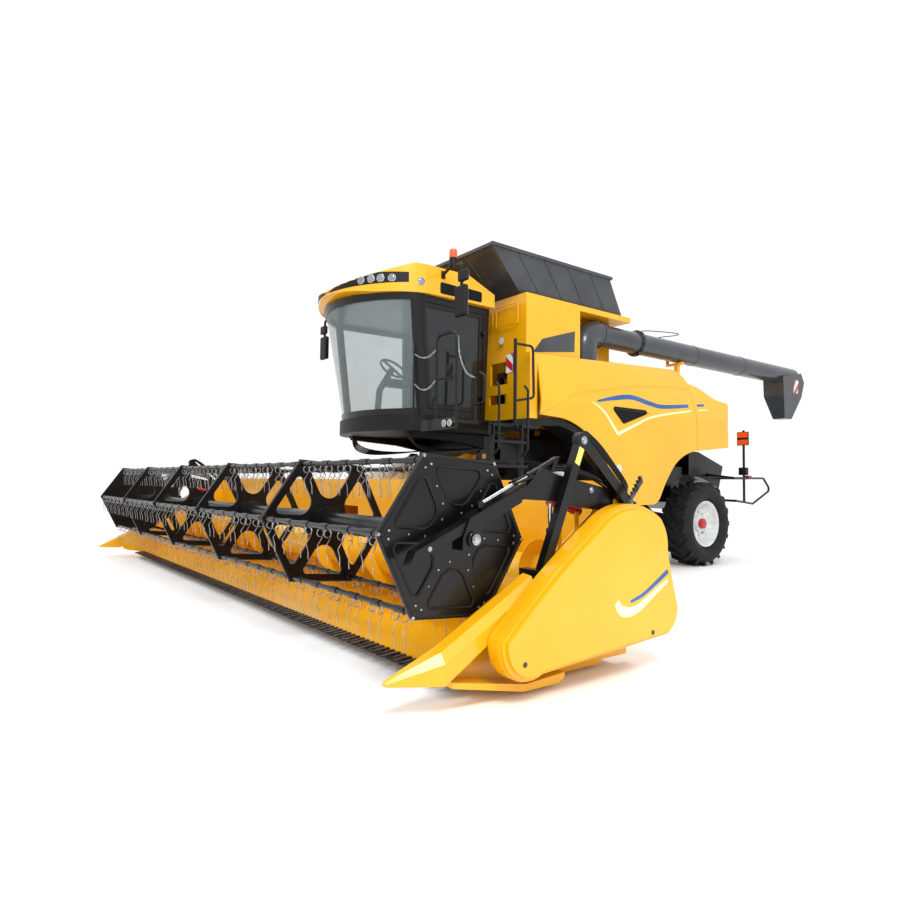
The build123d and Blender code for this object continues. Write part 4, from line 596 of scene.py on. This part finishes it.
# Red turned locking strut, on two sheet posts over the table's end plate.
POST_X = 4.604
strut = [lathe([(0, 0.02), (0.0, 0.034), (0.07, 0.034), (0.075, 0.028), (0.24, 0.028), (0.245, 0.034),
                (0.32, 0.034), (0.32, 0.02)], (4.583, -3.0, 1.245), (0, 0.3, -0.075), 18)]
strut_posts = [slab([(POST_X, y, z) for y, z in outline], (0.008, 0, 0)) for outline in (
    ((-2.94, 0.85), (-2.9, 0.87), (-2.9, 1.21), (-2.94, 1.22)),
    ((-2.76, 0.95), (-2.72, 0.98), (-2.72, 1.165), (-2.76, 1.175)))]
both_sides("lock_struts", "table", red, "black_steel", strut)
both_sides("lock_strut_posts", "table", yellow, "yellow_steel", strut_posts)

# Bare yellow labels near the top of the props, the props' clevis bolts, and hoses down their backs.
PROP_SIDE, PROP_HOSE = 4.7985, 0.009
label_line = ((-2.97, 1.52), (-2.925, 1.50), (-2.875, 1.615), (-2.92, 1.635))
labels = [slab([(PROP_SIDE, y, z) for y, z in label_line], (0.002, 0, 0))]
both_sides("prop_labels", "table", label_yellow, "yellow_panel", labels)
prop_bolts = bolt((PROP_SIDE, -2.875, 1.68), X_AXIS, 0.022, 0.014)
for y, z in ((-2.36, 1.23), (-3.27, 0.75)):
    prop_bolts += bolt((PROP_SIDE, y, z), X_AXIS, 0.018, 0.012)
both_sides("prop_bolts", "table", steel, "tine_steel", prop_bolts)
for k in range(3):
    x, rise = 4.768, 0.024 * k
    hose(f"prop_hose_{k + 1}", "table",
         [(x, -2.86 + 0.02 * k, 1.745), (x, -2.7, 1.64 + rise), (x, -2.5, 1.46 + rise),
          (x, -2.36, 1.33 + rise), (4.7, -2.29 + 0.01 * k, 1.29 + 0.02 * k), (4.5, -2.28 + 0.02 * k, 1.2)],
         PROP_HOSE)


# -------------------- roof: lamp band, lamps, vents, mirrors
# The moulded roof carries a black lamp band round its nose, five work lamps a side with chromed
# reflectors behind clear lenses, black louvred vents in both flanks, an aerial and orange beacons.
NOSE_Y, NOSE_RADIUS = -1.3314, 1.1886
# Clear moulded lens over a dark reflector, and orange moulded lens plastic. Patches 20 to 30 mm.
lens = painted("lamp_lens", "5E646A", "8A9096", 0.12, 1.0, 0.0, 0.03, 0.6)
orange = painted("orange_reflector", "D8410C", "E8551A", 0.25, 0.6, 0.1, 0.02, 0.5)


def nose_point(x, z, proud):
    """Roof nose: the rear-most of the plan's arc round NOSE_Y and the brow's slope, set proud of it."""
    arc = NOSE_Y - sqrt(NOSE_RADIUS ** 2 - x * x)
    brow = np.interp(z, [3.83, 3.855, 3.885, 3.915, 3.94, 4.13], [-2.48, -2.512, -2.52, -2.508, -2.47, -1.93])
    if arc > brow:
        return (x * (1 + proud / NOSE_RADIUS), arc + (arc - NOSE_Y) / NOSE_RADIUS * proud, z)
    return (x, brow - proud * 0.33, z + proud * 0.94)


band_rows = []
for x in np.linspace(-1.04, 1.04, 61):
    low = 3.868 + 0.03 * abs(x) ** 3
    high = 4.03 - 0.02 * (1 - abs(x))
    outer = [nose_point(x, z, 0.004) for z in np.linspace(low, high, 10)]
    inner = [nose_point(x, z, -0.004) for z in np.linspace(high, low, 10)]
    band_rows.append(outer + inner)
built("roof_lamp_band", "machine", plastic, "black_plastic", [grid(band_rows, close=True, wrap=True)],
      crease=50)

lamp_rim = [(-0.006, 0.052), (0.004, 0.052), (0.008, 0.048), (0.008, 0.043), (0.002, 0.041)]
lamp_lens = [(0.002, 0.041), (0.005, 0.036), (0.008, 0.024), (0.009, 0.008)]
lamp_rims, lamp_lenses = [], []
for x, z in ((0.608, 3.937), (0.724, 3.945), (0.82, 3.949), (0.92, 3.951), (1.108, 3.923)):
    for side in (-1, 1):
        y = NOSE_Y - sqrt(NOSE_RADIUS ** 2 - x * x)
        out = np.array((side * x, y - NOSE_Y, 0)) / NOSE_RADIUS
        centre = np.array((side * x, y, z)) + out * 0.004
        lamp_rims.append(lathe(lamp_rim, centre, out, 22))
        lamp_lenses.append(lathe(lamp_lens, centre, out, 22))
built("roof_lamp_rims", "machine", chrome, "ram_chrome", lamp_rims)
built("roof_lamp_lenses", "machine", lens, "tinted_glass", lamp_lenses)

vents = []
for y0, y1 in ((-1.474, -1.13), (-1.05, -0.787)):
    vent_line = rounded([(y0, 3.82), (y1, 3.82), (y1, 3.95), (y0, 3.96)], [0.02] * 4, 4)
    vents.append(slab([(1.1305, y, z) for y, z in vent_line], (0.003, 0, 0)))
    vents.append(tube([(1.134, y, z) for y, z in vent_line + vent_line[:1]], 0.005, 6))
    for k in range(5):
        z = 3.835 + 0.026 * k
        vents.append(slab([(1.133, y0 + 0.01, z), (1.133, y1 - 0.01, z), (1.142, y1 - 0.01, z - 0.008),
                           (1.142, y0 + 0.01, z - 0.008)], (0, 0, 0.004)))
both_sides("roof_vents", "machine", plastic, "black_plastic", vents)

aerial = [tube(eased([(1.02, -1.25, 4.19), (1.02, -1.24, 4.26), (1.02, -1.2, 4.4), (1.02, -1.17, 4.485)]),
               0.004, 6),
          lathe([(0, 0.02), (0.03, 0.018), (0.04, 0.008)], (1.02, -1.25, 4.185), Z_AXIS, 14)]
built("roof_aerial", "machine", plastic, "black_plastic", aerial)
beacon = [lathe([(0, 0.05), (0.012, 0.052), (0.1, 0.047), (0.118, 0.03), (0.122, 0.006)],
                (1.507, -1.56, 4.158), Z_AXIS, 22)]
both_sides("beacons", "machine", orange, "black_plastic", beacon)


def upright(x0, x1, z0, z1, y, thick):
    """Flat plate that faces along the machine, from x0 to x1 and from z0 to z1, as thick from y on."""
    return slab([(x0, y, z0), (x1, y, z0), (x1, y, z1), (x0, y, z1)], (0, thick, 0))


# Mirror glass in the rear of each head, behind a moulded rim.
MIRROR_Y = -1.6318
mirror_glass = [upright(1.725, 1.903, 3.362, 3.708, MIRROR_Y, 0.002),
                upright(1.78, 1.915, 3.78, 3.89, MIRROR_Y, 0.002)]
both_sides("mirror_glasses", "machine", chrome, "ram_chrome", mirror_glass)


# -------------------- driver's seat
# Foam cushion and back in woven cloth, sewn across in channels, on a ribbed rubber bellows.
SWELL_CAP, SEWN_DEPTH, SEWN_WIDTH = 0.012, 0.007, 0.007


def pad(name, centre, half, lean, channels):
    """Upholstered pad: a rounded box, swollen by cloth pressure and sewn in channels.

    With p(v, e) = sign(v) |v|^e, the box is x = a p(cos l, 0.5) p(cos t, 0.35),
    y = b p(cos l, 0.5) p(sin t, 0.35), z = c p(sin l, 0.6), of half sizes a, b and c. lean turns it
    about x. channels are places along y where a sewn line pulls the surface in.
    """
    def power(values, exponent):
        return np.sign(values) * np.abs(values) ** exponent

    lift = np.linspace(-pi / 2, pi / 2, 40)
    turn = np.linspace(0, 2 * pi, 96, endpoint=False)
    flat = power(np.cos(lift), 0.5)[:, None]
    rows = np.stack([half[0] * flat * power(np.cos(turn), 0.35)[None],
                     half[1] * flat * power(np.sin(turn), 0.35)[None],
                     half[2] * power(np.sin(lift), 0.6)[:, None] * np.ones(96)[None]], axis=2)
    points, faces = grid(rows, close=True, wrap=True)
    mesh = bpy.data.meshes.new(name)
    mesh.from_pydata(points.tolist(), [], faces)
    thing = bpy.data.objects.new(name, mesh)
    bpy.context.scene.collection.objects.link(thing)
    voxel = thing.modifiers.new("voxel", "REMESH")
    voxel.mode = "VOXEL"
    voxel.voxel_size = 0.006
    thing.data = bpy.data.meshes.new_from_object(thing.evaluated_get(bpy.context.evaluated_depsgraph_get()))
    thing.modifiers.clear()
    start = np.empty(len(thing.data.vertices) * 3)
    thing.data.vertices.foreach_get("co", start)
    swollen = start.copy()
    cover = thing.modifiers.new("cover", "CLOTH")
    cover.settings.use_pressure = True
    cover.settings.uniform_pressure_force = 4
    cover.settings.effector_weights.gravity = 0
    for step in range(1, 21):
        bpy.context.scene.frame_set(step)
    done = thing.evaluated_get(bpy.context.evaluated_depsgraph_get()).data
    done.vertices.foreach_get("co", swollen)
    thing.modifiers.clear()
    bpy.context.scene.frame_set(1)
    start, swollen = start.reshape(-1, 3), swollen.reshape(-1, 3)
    move = swollen - start
    far = np.linalg.norm(move, axis=1)
    points = start + move * np.minimum(1, SWELL_CAP / np.maximum(far, 1e-9))[:, None]
    for place in channels:
        sewn = np.exp(-((points[:, 1] - place) / SEWN_WIDTH) ** 2)
        points[:, 2] -= SEWN_DEPTH * np.sign(points[:, 2]) * sewn
    c, s = cos(lean), sin(lean)
    x, y, z = points.T
    turned = np.stack([x, y * c - z * s, y * s + z * c], axis=1)
    thing.data.vertices.foreach_set("co", (turned + centre - (0, BACK, 0)).ravel())
    thing.data.polygons.foreach_set("use_smooth", [True] * len(thing.data.polygons))
    thing.data.materials.clear()
    thing.data.materials.append(cloth)
    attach(thing, "machine")
    return thing


seat_cushion = pad("seat_cushion", (0, -1.0, 2.802), (0.232, 0.232, 0.047), 0.0, (-0.12, -0.02, 0.08))
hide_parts("cab_seat")
pad("seat_back", (0, -0.79, 3.14), (0.222, 0.27, 0.042), radians(82), (-0.15, -0.03, 0.09))
bellows = [(0.0, 0.17), (0.02, 0.19)]
for k in range(9):
    bellows += [(0.03 + 0.042 * k, 0.19), (0.051 + 0.042 * k, 0.165)]
bellows += [(0.42, 0.19), (0.455, 0.19)]
built("seat_bellows", "machine", plastic, "black_plastic", [lathe(bellows, (0, -1.0, 2.293), Z_AXIS, 28)],
      crease=60)


# -------------------- platform: chains, board, lamps, treads
# Painted tube rails closed by zinc-plated chains, a hatched board on the marker post, two round lamps
# under the deck's edge, and round treads punched up through the deck.
LINK, LINK_BEND, LINK_WIRE = 0.05, 0.012, 0.0045


def chain(path):
    """Chain along a smooth path: stadium links of bent wire, each turned square to its neighbours.

    A link is P(a) = c + d (r cos a + sign(cos a) (L/2 - r)) + w r sin a, with d along the path and w
    across it, of length L and end radius r.
    """
    path = np.asarray(path, float)
    run = np.concatenate([[0], np.cumsum(np.linalg.norm(np.diff(path, axis=0), axis=1))])

    def at(length):
        return np.array([np.interp(length, run, path[:, k]) for k in range(3)])

    count = int(run[-1] / (LINK * 0.72))
    made = []
    for i in range(count):
        middle = (i + 0.5) / count * run[-1]
        centre = at(middle)
        along = at(min(middle + 0.01, run[-1])) - at(max(middle - 0.01, 0))
        along /= np.linalg.norm(along)
        side = np.cross(along, (0.3, 0.2, 1.0) if i % 2 else (1.0, 0.4, 0.1))
        side /= np.linalg.norm(side)
        loop = []
        for a in np.linspace(0, 2 * pi, 11):
            reach = cos(a) * LINK_BEND + np.sign(round(cos(a), 3)) * (LINK / 2 - LINK_BEND)
            loop.append(centre + along * reach + side * sin(a) * LINK_BEND)
        made.append(tube(loop, LINK_WIRE, 5))
    return made


# Bright zinc plate on the chains, in patches of 30 mm.
zinc = painted("zinc_plate", "9A9EA2", "C9CDD0", 0.3, 0.0, 0.1, 0.03, 0.5, 0.8)
chain_lines = (([(1.35, -1.695, 3.0), (1.27, -1.75, 2.93), (1.17, -1.79, 2.93), (1.09, -1.83, 2.98)], 30),
               ([(1.35, -1.695, 2.62), (1.27, -1.75, 2.53), (1.17, -1.79, 2.53), (1.09, -1.83, 2.6)], 30),
               ([(1.757, -1.66, 3.12), (1.765, -1.64, 2.9), (1.765, -1.54, 2.7), (1.757, -1.405, 2.65)], 40))
links = [link for line, count in chain_lines for link in chain(spline(line, count))]
built("platform_chains", "machine", zinc, "ram_chrome", links, crease=70)
RAIL_FOOT, RAIL_BEND, RAIL_RADIUS = (1.085, -1.84, 2.03), (1.085, -1.84, 3.05), 0.014
corner_rail = [tube([RAIL_FOOT, RAIL_BEND], RAIL_RADIUS, 10),
               tube(eased([RAIL_BEND, (1.08, -1.84, 3.1), (1.05, -1.82, 3.14)]), RAIL_RADIUS, 10)]
built("cab_corner_rail", "machine", black, "black_steel", corner_rail)

built("marker_board_white", "machine", white, "white_steel",
      [upright(1.562, 1.693, 2.8, 3.045, -0.7145, -0.002)])
hatch_lines = (((1.562, 3.02), (1.562, 2.9), (1.693, 2.805), (1.693, 2.9)),
               ((1.65, 3.045), (1.693, 3.045), (1.693, 2.99)))
hatch = [slab([(x, -0.717, z) for x, z in line], (0, -0.0015, 0)) for line in hatch_lines]
built("marker_board_red", "machine", red, "black_steel", hatch)

deck_lamp_rim = [(-0.004, 0.02), (0.0, 0.043), (0.03, 0.045), (0.034, 0.041), (0.034, 0.035)]
deck_lamp_lens = [(0.03, 0.035), (0.036, 0.028), (0.039, 0.01)]
for name, material, slot, profile in (("deck_lamp_rims", chrome, "ram_chrome", deck_lamp_rim),
                                      ("deck_lamp_lenses", lens, "tinted_glass", deck_lamp_lens)):
    built(name, "machine", material, slot,
          [lathe(profile, (x, -1.712, 2.08), (0, -1, 0)) for x in (1.6, 1.71)])

DECK_TOP = 2.12
tread = [(0, 0.016), (0.004, 0.013), (0.004, 0.008)]
treads = [lathe(tread, (1.14 + 0.11 * j, -1.6 + 0.1 * i, DECK_TOP), Z_AXIS, 8)
          for i in range(13) for j in range(6)]
built("deck_treads", "machine", black, "black_steel", treads)


# -------------------- flank: stripes, vent, disc, front wall
# Printed films on the painted side panels and hood, a moulded louvred vent set into each panel, and
# pressed steel skins with a swage line and frames.
FLANK_Z = [1.0, 1.9, 2.5, 2.82, 3.13, 3.34]
FLANK_X = [1.56, 1.60, 1.655, 1.61, 1.54, 1.452]


def flank(y, z):
    """Outer face of the bulging side, x as a function of height through the six points of its section."""
    return np.interp(z, FLANK_Z, FLANK_X)


def film_face(y, z):
    """Outer face of a film on the side, 3.5 mm proud of it."""
    return flank(y, z) + 0.0035


def left_and_right(name, body, material, slot, parts, crease=38):
    """Two pieces, one for each of the bodies whose names end in left and right."""
    built(f"{name}_left", f"{body}_left", material, slot, parts, crease=crease)
    built(f"{name}_right", f"{body}_right", material, slot, flipped(parts), crease=crease)


def film(name, material, path, widths):
    """A stripe's film: one piece on the swinging panel, and one on the fixed hood where it reaches it."""
    line = spline(path, 60)
    widths = np.interp(np.linspace(0, 1, 60), np.linspace(0, 1, len(widths)), widths)
    on_panel = (line[:, 0] >= 0.0) & (line[:, 0] <= 3.34)
    left_and_right(name, "panel", material, "yellow_panel",
                   [ribbon(line[on_panel], widths[on_panel], film_face, 0.003)], crease=60)
    on_hood = (line[:, 0] >= 3.52) & (line[:, 0] <= 4.2)
    if on_hood.any():
        both_sides(name + "_hood", "machine", material, "yellow_panel",
                   [ribbon(line[on_hood], widths[on_hood], film_face, 0.003)], crease=60)


film("flank_blue", blue, [(0.99, 2.575), (1.39, 2.654), (1.796, 2.701), (2.223, 2.642), (2.57, 2.616),
                          (3.366, 2.695), (3.763, 2.737)], [0.03, 0.07, 0.075, 0.07, 0.055, 0.035])
film("flank_pale_front", pale, [(0.858, 2.558), (1.13, 2.43), (1.35, 2.24), (1.478, 2.123)],
     [0.01, 0.035, 0.04, 0.05])
film("flank_pale_rear", pale, [(1.478, 2.123), (1.9, 2.29), (2.32, 2.439), (3.3, 2.60), (3.878, 2.664)],
     [0.05, 0.04, 0.035, 0.025, 0.012])

# Three-cornered vent of moulded plastic: a flat back, a beaded rim and eight louvres.
vent_line = rounded([(1.28, 2.52), (1.59, 2.285), (2.271, 2.518)], [0.03, 0.04, 0.03], 5)
vent = [grid([[(flank(y, z) + proud, y, z) for y, z in vent_line] for proud in (0.001, 0.005)],
             close=True, wrap=True),
        tube([(flank(y, z) + 0.005, y, z) for y, z in vent_line + vent_line[:2]], 0.007, 6)]
for k in range(8):
    z = 2.32 + 0.024 * k
    share = (z - 2.285) / 0.235
    y0, y1 = 1.59 - 0.31 * share + 0.012, 1.59 + 0.681 * share - 0.012
    root, lip = flank(0, z) + 0.004, flank(0, z) + 0.016
    vent.append(slab([(root, y0, z), (root, y1, z), (lip, y1, z - 0.01), (lip, y0, z - 0.01)], (0, 0, 0.003)))
left_and_right("flank_vent", "panel", plastic, "black_plastic", vent)

# White enamelled disc on the lower skirt.
DISC_Y, DISC_Z, DISC_RADIUS = 1.54, 1.606, 0.067
disc_turn = np.linspace(0, 2 * pi, 30, endpoint=False)
disc = [grid([[(flank(DISC_Y, DISC_Z) + proud, DISC_Y + DISC_RADIUS * cos(a), DISC_Z + DISC_RADIUS * sin(a))
               for a in disc_turn] for proud in (0.003, 0.006)], close=True, wrap=True)]
left_and_right("round_sign", "panel", white, "white_steel", disc)

# Pressed swage line along the panel.
swage_path = spline([(-0.13, 2.31), (0.201, 2.478), (0.588, 2.646), (1.209, 2.774), (1.882, 2.883),
                     (2.615, 2.949), (3.33, 2.975)], 50)
swage = [tube([(flank(y, z) + 0.0015, y, z) for y, z in swage_path], 0.007)]
left_and_right("swage", "panel", yellow, "yellow_panel", swage)

# Front wall: two pressed frames over the windows, a thin dark grey plate on each of the tank's sides, and a
# disc.
wall_frames = []
for x0, x1, z0, z1 in ((0.881, 1.334, 3.583, 3.862), (0.62, 0.8, 3.62, 3.83)):
    frame_line = rounded([(x0, z0), (x1, z0), (x1, z1), (x0, z1)], [0.03] * 4, 5)
    wall_frames.append(tube([(x, -0.301, z) for x, z in frame_line + frame_line[:2]], 0.008))
both_sides("front_wall_frames", "machine", yellow, "yellow_steel", wall_frames)
plate_line = ((-0.126, 3.174), (0.057, 3.386), (0.719, 3.59), (0.708, 3.283))
grey_tank_plate = [slab([(1.4505, y, z) for y, z in plate_line], (0.004, 0, 0))]
both_sides("grey_tank_plates", "machine", grey, "grey_steel", grey_tank_plate, bevel=0.0015)
built("front_wall_disc", "machine", white, "white_steel",
      [lathe([(0, 0.05), (0.002, 0.05)], (1.0, -0.3005, 3.38), (0, -1, 0), 26)])


# -------------------- wheels: studs, hub caps, track bolts
# Pressed steel rims on ten studs, with sixteen rim bolts and a red enamelled hub cap. The track's
# drive wheel is held by a ring of twelve bolts.
def bolt_ring(x, y, z, ring, count, start, size, height):
    """Bolt heads on a circle round (y, z) that look outwards; start is the first one's share of a step."""
    made = []
    for k in range(count):
        a = 2 * pi * (k + start) / count
        made += bolt((x, y + ring * cos(a), z + ring * sin(a)), X_AXIS, size, height)
    return made


WHEEL_Y, WHEEL_Z = 3.89, 0.715
wheel_bolts = bolt_ring(1.4145, WHEEL_Y, WHEEL_Z, 0.2, 10, 0.5, 0.015, 0.02)
wheel_bolts += bolt_ring(1.44, WHEEL_Y, WHEEL_Z, 0.285, 16, 0, 0.008, 0.008)
hub_cap = [lathe([(0.0, 0.085), (0.05, 0.085), (0.062, 0.075), (0.07, 0.05), (0.072, 0.01)],
                 (1.471, WHEEL_Y, WHEEL_Z), X_AXIS, 28)]
left_and_right("wheel_bolts", "rear_wheel", steel, "tine_steel", wheel_bolts)
left_and_right("wheel_caps", "rear_wheel", red, "white_steel", hub_cap)
both_sides("track_wheel_bolts", "machine", steel, "tine_steel",
           bolt_ring(1.331, 0.0, 1.05, 0.23, 12, 0, 0.014, 0.016))


# -------------------- unloading auger: bolts, seams, board
# Sheet tube with bolted flanges and rolled seams, a bent rod loop on top, and a hatched board on the
# spout.
PIPE_RADIUS = 0.1745
PIPE_TURN = radians(3)


def on_auger(along, out, up):
    """A point on the unloading tube: along it from its pivot, to its left and above its centre line."""
    height = 3.67 - 0.02 * max(along - 0.3, 0) + up
    return (1.25 + along * sin(PIPE_TURN) + out * cos(PIPE_TURN),
            1.13 + along * cos(PIPE_TURN) - out * sin(PIPE_TURN), height)


pipe_way = np.subtract(on_auger(2, 0, 0), on_auger(1, 0, 0))
auger_bolts, auger_seams = [], []
for along in (0.3, 1.18):
    for k in range(12):
        a = 2 * pi * k / 12
        for sign in (-1, 1):
            place = on_auger(along + sign * 0.014, 0.193 * cos(a), 0.193 * sin(a))
            auger_bolts += bolt(place, sign * pipe_way, 0.009, 0.009)
for along in (2.6, 4.0):
    ring = [on_auger(along, PIPE_RADIUS * cos(a), PIPE_RADIUS * sin(a))
            for a in np.linspace(0, 2 * pi, 40, endpoint=False)]
    auger_seams.append(tube(ring + ring[:1], 0.005, 6))
auger_seams.append(tube([on_auger(s, 0.0, PIPE_RADIUS) for s in np.linspace(1.2, 5.2, 6)], 0.004, 6))
built("auger_flange_bolts", "auger_tube", steel, "tine_steel", auger_bolts)
built("auger_seams", "auger_tube", grey, "grey_steel", auger_seams)
loop_line = [on_auger(along, 0, up) for along, up in (
    (1.3, 0.17), (1.3, 0.24), (2.25, 0.34), (2.3, 0.31), (1.8, 0.2), (1.7, 0.165))]
built("auger_loop", "auger_tube", black, "black_steel", [tube(eased(loop_line), 0.008)])


def on_spout(outline, out, thick):
    """Flat plate on the spout's left side: an outline of points along and above the tube's line."""
    return slab([on_auger(along, out, up) for along, up in outline], (thick, 0, 0))


built("spout_board", "auger_tube", white, "white_steel",
      [on_spout(((5.58, -0.1), (5.75, -0.1), (5.72, -0.36), (5.56, -0.36)), 0.2065, 0.002)])
built("spout_stripes", "auger_tube", red, "black_steel",
      [on_spout(((5.58, -0.1), (5.66, -0.1), (5.57, -0.25)), 0.2087, 0.0015),
       on_spout(((5.75, -0.14), (5.735, -0.26), (5.64, -0.36), (5.565, -0.36)), 0.2087, 0.0015)])


# -------------------- tank cover: ribs
# Folded sheet flaps that lean outwards, stiffened by pressed ribs on their outer faces.
COVER_LOW, COVER_HIGH = 3.991, 4.47


def cover_point(x_share, y_share, height):
    """A point on the cover's funnel: half width 1.30 to 1.53, half length 1.11 to 1.17, leaning forward."""
    t = (height - COVER_LOW) / (COVER_HIGH - COVER_LOW)
    return (x_share * (1.30 + 0.23 * t), 0.89 - 0.66 * t + y_share * (1.11 + 0.06 * t), height)


cover_ribs = [tube([cover_point(*place, COVER_LOW + 0.03), cover_point(*place, COVER_HIGH - 0.02)], 0.009, 6)
              for share in (-0.62, -0.2, 0.2, 0.62)
              for place in ((-1, share), (1, share), (share, -1), (share, 1))]
built("cover_ribs", "machine", grey, "grey_steel", cover_ribs)


# -------------------- rear: reflectors, lamps, louvres, ribs
# Orange reflector plates with a black bar on the guard's posts, lamp boxes with red lamps, moulded
# louvres in the hood's back, and ribs pressed into the chopper's cover.
POST_OUT = 1.5
plates, strips, rear_red = [], [], []
for side in (-1, 1):
    x = side * POST_OUT
    for y, thick in ((5.2135, -0.003), (5.2355, 0.003)):
        plates.append(upright(x - 0.1, x + 0.1, 2.13, 2.36, y, thick))
    for y in (5.2085, 5.2385):
        strips.append(upright(x - 0.1, x + 0.1, 2.225, 2.265, y, 0.003))
    strips.append(upright(x - 0.07, x + 0.07, 1.57, 1.71, 5.19, 0.09))
    rear_red.append(lathe([(0, 0.045), (0.012, 0.045), (0.02, 0.035), (0.022, 0.01)], (x + 0.025, 5.28, 1.64),
                          Y_AXIS))
    rear_red.append(slab([(x - 0.035, 5.36, 1.528), (x + 0.035, 5.36, 1.528), (x + 0.035, 5.46, 1.528),
                          (x - 0.035, 5.46, 1.528)], (0, 0, 0.035)))
built("rear_plates", "machine", orange, "yellow_panel", plates)
built("rear_strips", "machine", plastic, "black_plastic", strips, bevel=0.001)
built("rear_lamps", "machine", red, "black_plastic", rear_red)

louvres = []
for k in range(7):
    z = 2.19 + 0.028 * k
    louvres.append(slab([(-0.55, 4.8005, z), (0.55, 4.8005, z), (0.55, 4.814, z - 0.012),
                         (-0.55, 4.814, z - 0.012)], (0, 0, 0.004)))
louvres.append(tube([(x, 4.802, z) for x, z in (
    (-0.6, 2.17), (0.6, 2.17), (0.6, 2.375), (-0.6, 2.375), (-0.6, 2.17))], 0.007, 6))
built("hood_louvres", "machine", plastic, "black_plastic", louvres)

chopper_ribs = [tube([(x, 4.6, 1.984), (x, 5.37, 1.7515)], 0.01, 6) for x in np.linspace(-0.9, 0.9, 10)]
built("chopper_ribs", "machine", black, "black_steel", chopper_ribs)


# -------------------- engine deck screen, hoses under the cab
# Wire guard of rings and spokes over the round cooling screen on the right, and ribs across the deck.
SCREEN_Y, SCREEN_Z = 2.7, 3.45
deck_parts = []
for k in range(9):
    radius = 0.04 + 0.022 * k
    ring = [(-1.4415, SCREEN_Y + radius * cos(a), SCREEN_Z + radius * sin(a))
            for a in np.linspace(0, 2 * pi, 36, endpoint=False)]
    deck_parts.append(tube(ring + ring[:1], 0.003, 5))
for k in range(12):
    a = 2 * pi * k / 12
    deck_parts.append(tube([(-1.442, SCREEN_Y + radius * cos(a), SCREEN_Z + radius * sin(a))
                            for radius in (0.03, 0.225)], 0.004, 5))
for y in (2.3, 2.6, 2.9, 3.1):
    deck_parts.append(tube([(-0.55, y, 3.502), (0.55, y, 3.502)], 0.008, 6))
built("deck_screen", "machine", black, "black_steel", deck_parts)

# Under the cab, four black rubber hoses a side run from its floor back to the threshing body.
CAB_HOSE = 0.011
for k in range(4):
    x, drop = 0.70 + 0.03 * k, 0.02 * k
    hose(f"cab_hose_{k + 1}", "machine",
         [(x, -1.66, 2.034), (x + 0.01, -1.68, 1.93 - drop), (x + 0.02, -1.4, 1.83 - drop), (x, -0.8, 1.82),
          (x - 0.02, -0.452, 1.87)], CAB_HOSE)
